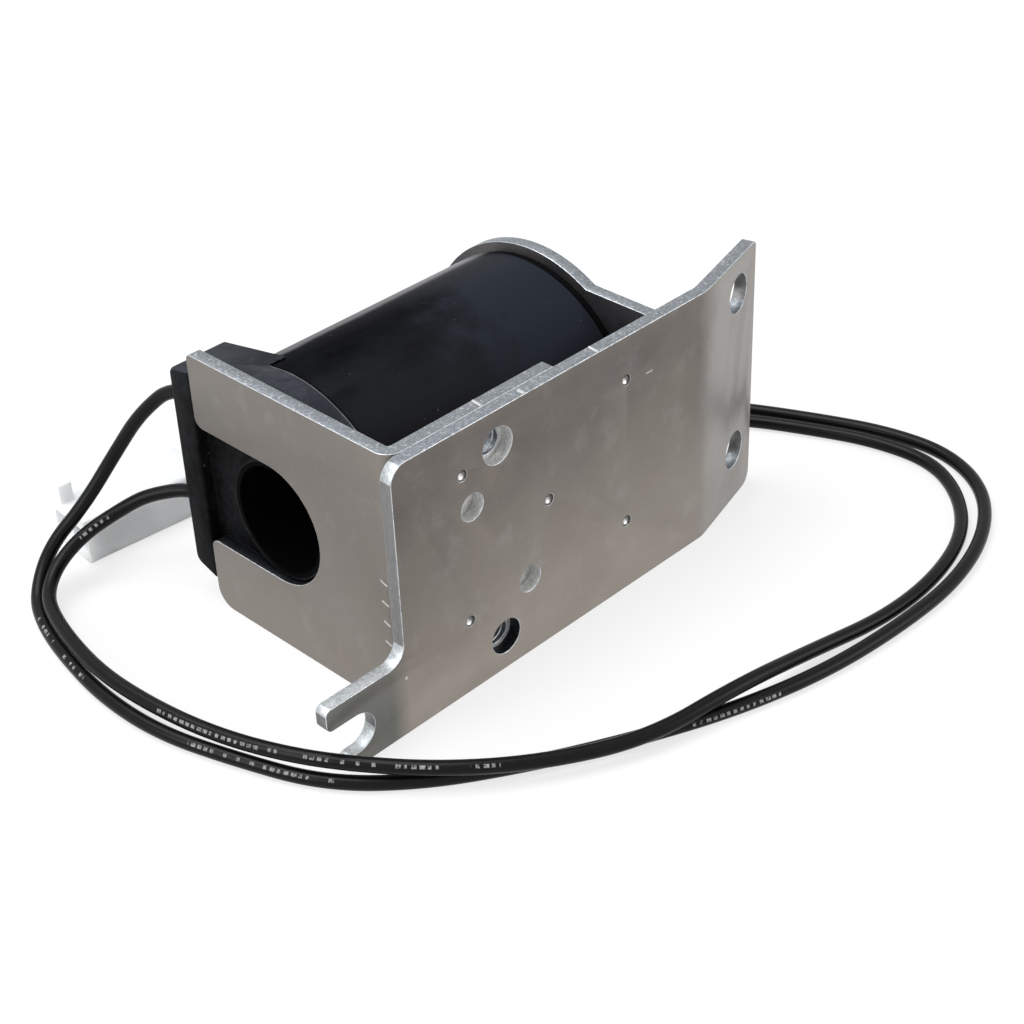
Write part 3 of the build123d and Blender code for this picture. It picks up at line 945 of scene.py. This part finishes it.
@dataclass
class SteelWork:
    """The bent frame and the mounting plate, with threads, clinch marks and burrs."""

    edge_ease: float = 0.27
    sheet: float = 1.6
    hole_reach: float = 3.0
    bend_reach: float = 2.2
    plate_span: float = 1.68
    pattern_x: float = 13.5
    screw_spacing: float = 24.5
    tap_r: float = 1.65
    thread_height: float = 0.16
    thread_pitch: float = 0.7
    dimple_depth: float = 0.42
    dimple_lip: float = 0.02
    dimple_x: float = 20.8
    burrs: tuple[Burr, ...] = (
        Burr(along=13.0, start=1.75, end=3.1, wide=0.42, high=0.10),
        Burr(along=17.7, start=0.1, end=1.0, wide=0.55, high=0.12),
        Burr(along=28.9, start=0.1, end=1.5, wide=0.40, high=0.10),
    )
    burr_foot: float = -0.03
    burr_crest: float = 0.35
    burr_lean: float = 0.08

    def build(self) -> None:
        """Build and hand over every piece of the sheet steel."""
        self.build_frame()
        self.build_plate()
        self.build_threads()
        self.build_dimples()
        self.build_burrs()

    def build_frame(self) -> None:
        """The C-shaped frame, with its cut edges told from its faces."""
        low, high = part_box("frame")
        sheet, bend, plate = (v * MM for v in (self.sheet, self.bend_reach, self.plate_span))
        mesh = merged("frame")

        def index(middle: Vector, normal: Vector) -> Sheet:
            """A face's finish, by its middle and normal."""
            in_front = middle.x < low.x + plate and middle.y > low.y + bend
            in_plate = in_front or (middle.x > high.x - plate and middle.y > low.y + bend)
            in_leaf = low.x + bend < middle.x < high.x - bend and not in_plate
            cut = (
                abs(normal.z) > FACING
                or (in_plate and abs(normal.x) < FACING)
                or (in_leaf and abs(normal.y) < FACING)
            )
            if cut and in_front and low.z + sheet < middle.z < high.z - sheet:
                return Sheet.SHADED
            if cut:
                return Sheet.FRONT_CUT if in_front else Sheet.CUT
            # Painted light on the leaf's outer face, seen behind the plate's pin holes.
            if in_leaf and normal.y < -FACING:
                return Sheet.WALL
            # Painted shade on the frame's inward faces.
            inward = in_leaf or (in_plate and (normal.x > 0) == in_front)
            return Sheet.INSIDE if inward else Sheet.FACE

        mark_faces(mesh, index)
        piece = eased(mesh, "frame_steel", self.edge_ease, STEEL, Sheet.RUBBED_HIGHLIGHT.value)
        hand_over(piece, "zinc_steel", "frame")

    def build_plate(self) -> None:
        """The mounting plate, with its cut edges told from its faces."""
        mesh = merged("mounting_plate")
        low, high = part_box("mounting_plate")
        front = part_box("frame")[0].x
        hole_x = front + self.pattern_x * MM
        reach, rim = 2 * self.hole_reach * MM, self.hole_reach / 2 * MM

        def index(middle: Vector, normal: Vector) -> Sheet:
            """A face's finish, by its middle and normal."""
            if abs(normal.y) > SQUARE_ON:
                return Sheet.FACE
            in_hole = abs(middle.x - hole_x) < reach and middle.z > low.z + rim
            # Painted shade in the lower screw hole, painted light on the walls of the other holes.
            if in_hole and middle.z < low.z + reach:
                return Sheet.SHADED
            if in_hole and middle.z < high.z - rim:
                return Sheet.WALL
            if middle.x < front and normal.z > LEANING:
                return Sheet.HOOK_TOP
            return Sheet.SMOOTH if abs(normal.x) > SQUARE_ON else Sheet.CUT

        mark_faces(mesh, index)
        finishes = [PLATE_ZINC, *STEEL[1:]]
        piece = eased(mesh, "plate_steel", self.edge_ease, finishes, Sheet.RUBBED_HIGHLIGHT.value)
        hand_over(piece, "zinc_steel", "mounting_plate")

    @staticmethod
    def add(mesh: bpy.types.Mesh, name: str, finish: Finish, place: Vector) -> None:
        """Hand over a recipe's mesh at its place.

        Args:
            mesh: The mesh, about the origin.
            name: The piece's name.
            finish: Its finish.
            place: Where it goes, in metres.
        """
        mesh.transform(Matrix.Translation(place))
        mesh.shade_smooth()
        hand_over(keep(mesh, name, [finish]), "zinc_steel")

    def build_threads(self) -> None:
        """The screw threads in the leaf's two tapped holes, from one recipe of nodes."""
        low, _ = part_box("frame")
        recipe = Recipe("screw_threads")
        radius = recipe.size("Radius", self.tap_r * MM)
        pitch = recipe.size("Pitch", self.thread_pitch * MM)
        height = recipe.size("Height", self.thread_height * MM)
        depth = recipe.size("Depth", self.sheet * MM)
        spacing = recipe.size("Spacing", self.screw_spacing * MM)
        graph = recipe.graph
        helix = graph.node(
            "GeometryNodeCurveSpiral",
            inputs={
                "Resolution": 28,
                "Rotations": (depth - height) / pitch,
                "Start Radius": radius,
                "End Radius": radius,
                "Height": depth - height,
            },
        )
        inputs = {"Resolution": 4, "Radius": height}
        ridge = graph.node("GeometryNodeCurvePrimitiveCircle", inputs=inputs)
        inputs = {"Curve": helix, "Profile Curve": ridge, "Fill Caps": True}
        wound = graph.node("GeometryNodeCurveToMesh", inputs=inputs)
        inputs = {"Geometry": wound, "Rotation": (-pi / 2, 0, 0)}
        laid = graph.node("GeometryNodeTransform", inputs=inputs)
        step = graph.node("ShaderNodeCombineXYZ", inputs={"Z": spacing})
        line = graph.node("GeometryNodeMeshLine", inputs={"Count": 2, "Offset": step})
        # The threads take the bright edge finish, a painted highlight.
        mesh = recipe.cook(line, laid, RUBBED_HIGHLIGHT)
        inset, lower = self.thread_height / 2, AXIS_Z - self.screw_spacing / 2
        place = Vector((low.x + self.pattern_x * MM, low.y + inset * MM, lower * MM))
        self.add(mesh, "screw_threads", RUBBED_HIGHLIGHT, place)

    def build_dimples(self) -> None:
        """The bright bowls of the plate's five clinch dimples, from one recipe of nodes."""
        face_x, face_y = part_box("frame")[0].x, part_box("mounting_plate")[0].y
        recipe = Recipe("clinch_dimples")
        radius = recipe.size("Radius", DIMPLE_R * MM)
        depth = recipe.size("Depth", self.dimple_depth * MM)
        wide = recipe.size("Half Width", DIMPLE_STEP_X * MM)
        high = recipe.size("Half Height", DIMPLE_STEP_Z * MM)
        graph = recipe.graph
        inputs = {"Segments": 24, "Rings": 12, "Radius": radius}
        ball = graph.node("GeometryNodeMeshUVSphere", inputs=inputs)
        inputs = {"X": 1.0, "Y": depth / radius, "Z": 1.0}
        squat = graph.node("ShaderNodeCombineXYZ", inputs=inputs)
        flat = graph.node("GeometryNodeTransform", inputs={"Geometry": ball, "Scale": squat})
        _, inward, _ = graph.split(graph.node("GeometryNodeInputPosition"))
        outer = inward.maths("LESS_THAN", -self.dimple_lip * MM)
        inputs = {"Geometry": flat, "Selection": outer}
        half = graph.node("GeometryNodeDeleteGeometry", {"domain": "POINT"}, inputs)
        bowl = graph.node("GeometryNodeFlipFaces", inputs={"Mesh": half})
        inputs = {"Size X": wide * 2.0, "Size Y": high * 2.0, "Vertices X": 2, "Vertices Y": 2}
        corners = graph.node("GeometryNodeMeshGrid", inputs=inputs)
        inputs = {"Geometry": corners, "Rotation": (pi / 2, 0, 0)}
        upright = graph.node("GeometryNodeTransform", inputs=inputs)
        middle = graph.node("GeometryNodeMeshLine", inputs={"Count": 1})
        points = graph.node("GeometryNodeJoinGeometry", inputs={0: upright})
        graph.tree.links.new(middle.socket, points.socket.node.inputs[0])
        mesh = recipe.cook(points, bowl, DIMPLE)
        place = Vector((face_x + self.dimple_x * MM, face_y, DIMPLE_MIDDLE_Z * MM))
        self.add(mesh, "clinch_dimples", DIMPLE, place)

    def build_burrs(self) -> None:
        """The small burrs that the shears left across the top edges."""
        corner = Vector((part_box("frame")[0].x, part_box("mounting_plate")[0].y, 0))
        foot, crest = self.burr_foot, self.burr_crest
        built = bmesh.new()
        for burr in self.burrs:
            ridge = []
            for across in (burr.start, burr.end):
                for side, rise in ((-1, foot), (-crest, burr.high), (crest, burr.high), (1, foot)):
                    along = burr.along + side * burr.wide / 2 + across * self.burr_lean
                    spot = Vector((along, across, PLATE_HEIGHT + rise))
                    ridge.append(built.verts.new(corner + spot * MM))
            for step in range(3):
                built.faces.new((ridge[step], ridge[step + 1], ridge[step + 5], ridge[step + 4]))
            built.faces.new(ridge[:4])
            built.faces.new(ridge[4:])
            built.faces.new((ridge[0], ridge[3], ridge[7], ridge[4]))
        bmesh.ops.recalc_face_normals(built, faces=built.faces)
        mesh = settled(built, "burrs")
        hand_over(keep(mesh, "shear_burrs", [BURR]), "zinc_steel")


# The coil unit


class Moulding(Enum):
    """Material indices on the bobbin."""

    PLAIN = 0
    DUSTY_LIT = 1
    RIM_HIGHLIGHT = 2


@dataclass
class CoilUnit:
    """The bobbin with its winding, cover, core and plunger."""

    head_ease: float = 0.3
    cover_ease: float = 0.12
    head_thick: float = 5.0
    rim_width: float = 0.5
    lap: float = 0.2
    head_slack: float = 0.1

    def build_bobbin(self) -> None:
        """The bobbin, with dust and painted light on the head's upper side and a painted highlight
        on the rim by the cover.
        """
        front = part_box("bobbin")[0].x
        low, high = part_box("coil_cover")
        axis, cover_r = (low + high) / 2, (high.z - low.z) / 2
        rim = self.rim_width * MM

        def behind(place: Vector, slack: float) -> bool:
            """Whether a place is more than slack millimetres behind the head."""
            return place.x > front + (self.head_thick + slack) * MM

        def reach(place: Vector) -> float:
            """How far outside the cover's round a place is, in metres."""
            return Vector((place.y - axis.y, place.z - axis.z)).length - cover_r

        def index(middle: Vector, normal: Vector) -> Moulding:
            """A face's finish, by its middle and normal."""
            if behind(middle, self.rim_width) or normal.z < LEANING:
                return Moulding.PLAIN
            beside = behind(middle, -self.rim_width) and reach(middle) > -rim
            # Painted highlight on the rounded rear edge by the cover; painted light and dust on the
            # other upward faces.
            if beside and abs(normal.x) > LEANING:
                return Moulding.RIM_HIGHLIGHT
            return Moulding.DUSTY_LIT

        def outer(*ends: Vector) -> bool:
            """Whether an edge is one of the head's outer edges, by its two ends."""
            clear = self.lap / 2 * MM
            return all(reach(end) >= clear and not behind(end, self.head_slack) for end in ends)

        finishes = [HEAD_PLASTIC, HEAD_DUSTY_LIT, HEAD_RIM_HIGHLIGHT]
        mesh = merged("bobbin")
        bobbin = eased(mesh, "bobbin_moulding", self.head_ease, finishes, chosen=outer)
        mark_faces(bobbin.data, index)
        hand_over(bobbin, "bobbin_plastic", "bobbin")

    def build(self) -> None:
        """Dress the inner pieces, and build the ones that need softer edges."""
        self.build_bobbin()
        mesh = merged("coil_cover", 0.05)
        cover = eased(mesh, "cover_moulding", self.cover_ease, [COVER_PLASTIC])
        hand_over(cover, "cover_plastic", "coil_cover")
        for node, finish in (
            ("guide_sleeve", SLEEVE),
            ("winding", ENAMEL),
            ("winding_tape", TAPE),
            ("winding_ends", COPPER),
            ("rear_cushion", RUBBER),
            ("fixed_core", CORE),
            ("shading_ring", COPPER),
            ("plunger", CORE),
            ("splices", TINNED),
            ("splice_sleeves", SPLICE_SLEEVE),
            ("plug_contacts", TINNED),
        ):
            dress(node, finish)


# The leads and their plug


@dataclass
class Lead:
    """One of the two leads, from its splice in the head to the plug."""

    name: str
    exit_z: float
    side: int
    length: float
    prints: tuple[Triple, ...]
    lying: list[Triple]
    radius: float = 0.83
    exit_x: float = 3.4
    start_y: float = 34.0
    far_y: float = 36.8
    sides: int = 20
    steps: int = 14

    def points(self, plug: "Plug") -> list[Vector]:
        """The route's points in metres, the same as the solid follows.

        Args:
            plug: The plug at the far end.

        Returns:
            The points.
        """
        inside = (self.exit_x, self.start_y, self.exit_z)
        across = plug.across * (self.side * plug.pitch / 2) + Vector((0, 0, plug.height / 2))
        entry = plug.centre + plug.along * (plug.length / 2 + plug.approach) + across
        crimp = plug.centre + plug.along * plug.crimp_end + across
        return [plug.origin + Vector(p) * MM for p in (inside, *self.lying, entry, crimp)]

    def smooth_line(self, plug: "Plug") -> list[Vector]:
        """The line that the lead really lies on, as a spline through its route.

        Args:
            plug: The plug at the far end.

        Returns:
            Points along the spline.
        """
        curve = bpy.data.curves.new(self.name + "_route", "CURVE")
        curve.dimensions = "3D"
        curve.resolution_u = self.steps
        spline = curve.splines.new("NURBS")
        route = self.points(plug)
        spline.points.add(len(route) - 1)
        for point, place in zip(spline.points, route):
            point.co = (*place, 1.0)
        spline.order_u = 3
        spline.use_endpoint_u = True
        holder = placed(curve.name, curve)
        return [Vector(vertex.co) for vertex in applied(holder).vertices]

    def build(self, plug: "Plug") -> None:
        """Args:
            plug: The plug at the far end.
        """
        line = self.smooth_line(plug)
        finish = LeadInsulation(self.name + "_insulation", prints=self.prints)
        mesh = tube(line, self.radius * MM, self.sides, self.name)
        piece = keep(mesh, self.name + "_vinyl", [finish])
        hand_over(piece, "lead_insulation", self.name)


def tube(line: list[Vector], radius: float, sides: int, name: str) -> bpy.types.Mesh:
    """A closed round tube along a line, with a UV map of metres along and turns round.

    Args:
        line: The centre line.
        radius: The tube's radius in metres.
        sides: Faces round it.
        name: The mesh's name.

    Returns:
        The mesh.
    """
    built = bmesh.new()
    layer = built.loops.layers.uv.new(LEAD_MAP)
    angles = [2 * pi * step / sides for step in range(sides)]
    ways = [(after - before).normalized() for before, after in zip(line, line[1:])]
    ways = [ways[0]] + [(a + b).normalized() for a, b in zip(ways, ways[1:])] + [ways[-1]]
    side = ways[0].cross(Vector((0, 0, 1))).normalized()
    rings, lengths, reach = [], [], 0.0
    for index, (place, way) in enumerate(zip(line, ways)):
        if index:
            side = (ways[index - 1].rotation_difference(way) @ side).normalized()
            side = (side - way * side.dot(way)).normalized()
            reach += (place - line[index - 1]).length
        up = way.cross(side)
        lengths.append(reach)
        ring = [place + (side * cos(angle) + up * sin(angle)) * radius for angle in angles]
        rings.append([built.verts.new(spot) for spot in ring])
    for index, (ring, after) in enumerate(zip(rings, rings[1:])):
        for step in range(sides):
            beyond = (step + 1) % sides
            face = built.faces.new((ring[step], ring[beyond], after[beyond], after[step]))
            spots = (
                (lengths[index], step / sides),
                (lengths[index], (step + 1) / sides),
                (lengths[index + 1], (step + 1) / sides),
                (lengths[index + 1], step / sides),
            )
            for loop, spot in zip(face.loops, spots):
                loop[layer].uv = spot
            face.smooth = True
    built.faces.new(list(reversed(rings[0])))
    built.faces.new(rings[-1])
    bmesh.ops.recalc_face_normals(built, faces=built.faces)
    return settled(built, name)


@dataclass
class Plug:
    """The nylon plug on the leads' far end, turned a little on the table."""

    origin: Vector
    length: float = 17.0
    height: float = 6.0
    pitch: float = 3.96
    turn: float = -5.0
    centre_x: float = 3.21
    centre_y: float = 53.65
    approach: float = 3.9
    crimp_end: float = 5.5
    ease: float = 0.35
    pieces: list[bpy.types.Object] = field(default_factory=list)

    @property
    def centre(self) -> Vector:
        """The middle of the plug's foot, behind the front face and the mounting face."""
        return Vector((self.centre_x, self.centre_y, 0))

    @property
    def along(self) -> Vector:
        """The way from the mating end to the leads."""
        return Vector((cos(radians(self.turn)), sin(radians(self.turn)), 0))

    @property
    def across(self) -> Vector:
        """The way across the plug, toward its far side."""
        return Vector((-sin(radians(self.turn)), cos(radians(self.turn)), 0))

    def build(self) -> None:
        """Build the housing and list what goes with the leads."""
        housing = eased(merged("plug_housing"), "plug_nylon", self.ease, [NYLON])
        hand_over(housing, "plug_nylon", "plug_housing")
        self.pieces = [housing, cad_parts["plug_contacts"]]


# The studio


@dataclass(frozen=True)
class Lamp:
    """A square soft lamp, by the way toward it."""

    name: str
    way: Triple
    size: float
    power: float


@dataclass
class Studio:
    """The camera at the photograph's place, a pale floor and plain soft light."""

    origin: Vector
    azimuth: float = 44.46
    elevation: float = 34.28
    roll: float = -2.46
    distance: float = 226.875
    aside: float = 3.815
    lift: float = -5.63
    target: Triple = (23.1, 13.2, 16.5)
    lens: float = 71.31
    floor_r: float = 4.0
    floor_drop: float = 0.00002
    floor_glow: float = 0.72
    fill: float = 0.45
    lit: Triple = (25.0, 17.0, 12.0)
    lamp_distance: float = 0.75
    lamps: tuple[Lamp, ...] = (
        Lamp("lamp_above", way=(-0.2, 0.25, 1.0), size=0.55, power=5.0),
        Lamp("lamp_left", way=(-1.0, 0.15, 0.55), size=0.4, power=2.2),
        Lamp("lamp_right", way=(0.6, -1.0, 0.5), size=0.4, power=1.6),
    )

    def build(self) -> None:
        """Set up the camera, floor, lights and world."""
        self.build_camera()
        self.build_floor()
        self.build_lights()
        self.build_world()
        bpy.context.scene.view_settings.view_transform = "Standard"

    def build_camera(self) -> None:
        """The camera, where a pinhole fitted to the photograph puts it."""
        az, el, roll = (radians(a) for a in (self.azimuth, self.elevation, self.roll))
        back = Vector((-sin(az) * cos(el), -cos(az) * cos(el), sin(el)))
        right = (-back).cross(Vector((0, 0, 1))).normalized()
        up = right.cross(-back)
        level = right * cos(roll) + up * sin(roll)
        upright = up * cos(roll) - right * sin(roll)
        spot = Vector(self.target) + back * self.distance
        spot += level * self.aside + upright * self.lift
        data = bpy.data.cameras.new("camera")
        data.sensor_fit = "AUTO"
        data.sensor_width = 36.0
        data.lens = self.lens
        data.clip_start = 0.005
        data.clip_end = 20.0
        camera = placed("camera", data)
        turned = Matrix((level, upright, back)).transposed().to_4x4()
        camera.matrix_world = Matrix.Translation(self.origin + spot * MM) @ turned
        bpy.context.scene.camera = camera

    def build_floor(self) -> None:
        """A wide pale floor that keeps a faint shadow."""
        built = bmesh.new()
        bmesh.ops.create_circle(built, cap_ends=True, segments=64, radius=self.floor_r)
        mesh = settled(built, "floor")
        shader = Shader("floor_paper")
        grain = shader.mix(shader.noise(0.8, 2.0), (0.86, 0.86, 0.86), (0.88, 0.88, 0.88))
        matt = shader.node("ShaderNodeBsdfDiffuse", inputs={"Color": grain})
        glow = shader.node("ShaderNodeEmission", inputs={"Color": (1, 1, 1, 1), "Strength": 1.0})
        share = self.seen_directly(shader) * self.floor_glow
        mixed = shader.node("ShaderNodeMixShader", inputs={0: share, 1: matt, 2: glow})
        shader.node("ShaderNodeOutputMaterial", inputs={"Surface": mixed})
        mesh.materials.append(shader.material)
        floor = placed("floor", mesh)
        floor.location.z = -self.floor_drop

    @staticmethod
    def seen_directly(graph: Graph) -> Wire:
        """1 for rays from the camera, or by way of gloss or glass, and else 0."""
        path = graph.node("ShaderNodeLightPath", output="Is Camera Ray")
        return (path + path.out("Is Glossy Ray") + path.out("Is Transmission Ray")).clamp()

    def build_lights(self) -> None:
        """Large soft lamps: one above, one from the left and a weaker one from the right."""
        middle = self.origin + Vector(self.lit) * MM
        for lamp in self.lamps:
            data = bpy.data.lights.new(lamp.name, "AREA")
            data.shape = "SQUARE"
            data.size = lamp.size
            data.energy = lamp.power
            way = Vector(lamp.way)
            hung = placed(lamp.name, data)
            hung.location = middle + way.normalized() * self.lamp_distance
            hung.rotation_euler = (-way).to_track_quat("-Z", "Y").to_euler()

    def build_world(self) -> None:
        """Even light all round, with white behind the object."""
        world = bpy.data.worlds.new("surroundings")
        bpy.context.scene.world = world
        world.use_nodes = True
        graph = Graph(world.node_tree)
        graph.tree.nodes.clear()
        fill, white = (
            graph.node("ShaderNodeBackground", inputs={"Color": (1, 1, 1, 1), "Strength": strength})
            for strength in (self.fill, 1.0)
        )
        seen = self.seen_directly(graph)
        mixed = graph.node("ShaderNodeMixShader", inputs={0: seen, 1: fill, 2: white})
        graph.node("ShaderNodeOutputWorld", inputs={"Surface": mixed})


# A print is its start along the lead, its length and its place round the lead. A point of a
# route is in millimetres behind the front face, behind the mounting face and above the table,
# on which a lead lies with its middle 0.85 up.
LEAD_A = Lead(
    name="lead_a",
    exit_z=25.0,
    side=1,
    length=303.1,
    prints=(
        (44.0, 5.0, 0.6), (50.5, 6.5, 0.61), (74.0, 17.0, 0.63), (122.0, 4.0, 0.7),
        (128.5, 11.0, 0.7),
    ),
    lying=[
        (3.4, 40.6, 25.0), (0.9, 45.1, 20.4), (-1.3, 48.1, 14.9), (-5.5, 49.8, 9.1),
        (-10.2, 51.5, 4.6), (-14.5, 49.0, 1.3), (-16.9, 44.2, 0.85), (-18.7, 37.4, 0.85),
        (-20.1, 28.6, 0.85), (-19.8, 19.3, 0.85), (-17.2, 10.2, 0.85), (-13.4, 0.0, 0.85),
        (-6.5, -7.4, 0.85), (2.8, -13.6, 0.85), (12.6, -18.9, 0.85), (23.4, -23.7, 0.85),
        (35.0, -27.0, 0.85), (47.0, -28.3, 0.85), (58.0, -28.2, 0.85), (68.2, -25.4, 0.85),
        (76.0, -20.0, 0.85), (79.8, -12.3, 0.85), (79.0, -3.8, 0.85), (75.8, 4.6, 0.85),
        (71.0, 14.8, 0.85), (65.2, 23.6, 0.85), (57.3, 31.2, 0.85), (49.0, 38.4, 0.85),
        (40.5, 44.6, 0.85), (32.0, 49.6, 0.85), (24.2, 52.9, 1.7),
    ],
)
LEAD_B = Lead(
    name="lead_b",
    exit_z=11.4,
    side=-1,
    length=280.6,
    prints=(
        (16.5, 4.5, 0.56), (56.0, 13.5, 0.78), (70.5, 1.2, 0.76), (74.5, 7.5, 0.75),
        (84.0, 6.0, 0.75), (91.5, 3.0, 0.75),
    ),
    lying=[
        (3.4, 39.5, 11.4), (-0.1, 44.2, 10.2), (-2.4, 46.5, 8.5), (-7.0, 48.6, 6.2),
        (-10.9, 48.8, 4.0), (-13.9, 47.0, 2.7), (-15.8, 43.9, 2.4), (-17.7, 37.4, 2.5),
        (-18.9, 29.7, 2.5), (-18.5, 21.8, 2.4), (-17.3, 14.2, 2.4), (-15.3, 6.7, 2.8),
        (-12.1, -0.6, 3.2), (-5.5, -8.9, 2.8), (2.9, -15.7, 2.3), (13.1, -20.9, 1.95),
        (24.7, -23.2, 3.1), (36.2, -24.2, 1.5), (47.0, -26.2, 0.85), (57.2, -26.1, 0.85),
        (66.5, -23.5, 0.85), (73.2, -18.2, 0.85), (76.9, -11.7, 0.85), (76.2, -3.6, 0.85),
        (73.3, 3.9, 0.85), (69.3, 12.3, 0.85), (62.6, 20.9, 0.85), (55.0, 28.4, 0.85),
        (47.0, 35.2, 0.85), (39.0, 41.0, 0.85), (31.2, 45.8, 0.85), (23.6, 48.9, 1.7),
    ],
)


def main() -> None:
    """Build every sub-assembly in order, and report each piece."""
    logging.basicConfig(level=logging.INFO, format="%(name)s: %(message)s", force=True)
    origin = Vector((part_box("frame")[0].x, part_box("mounting_plate")[0].y, 0))
    Studio(origin).build()
    plug = Plug(origin)
    plug.build()
    for lead in (LEAD_A, LEAD_B):
        lead.build(plug)
    SteelWork().build()
    CoilUnit().build()


if __name__ == "__main__":
    main()
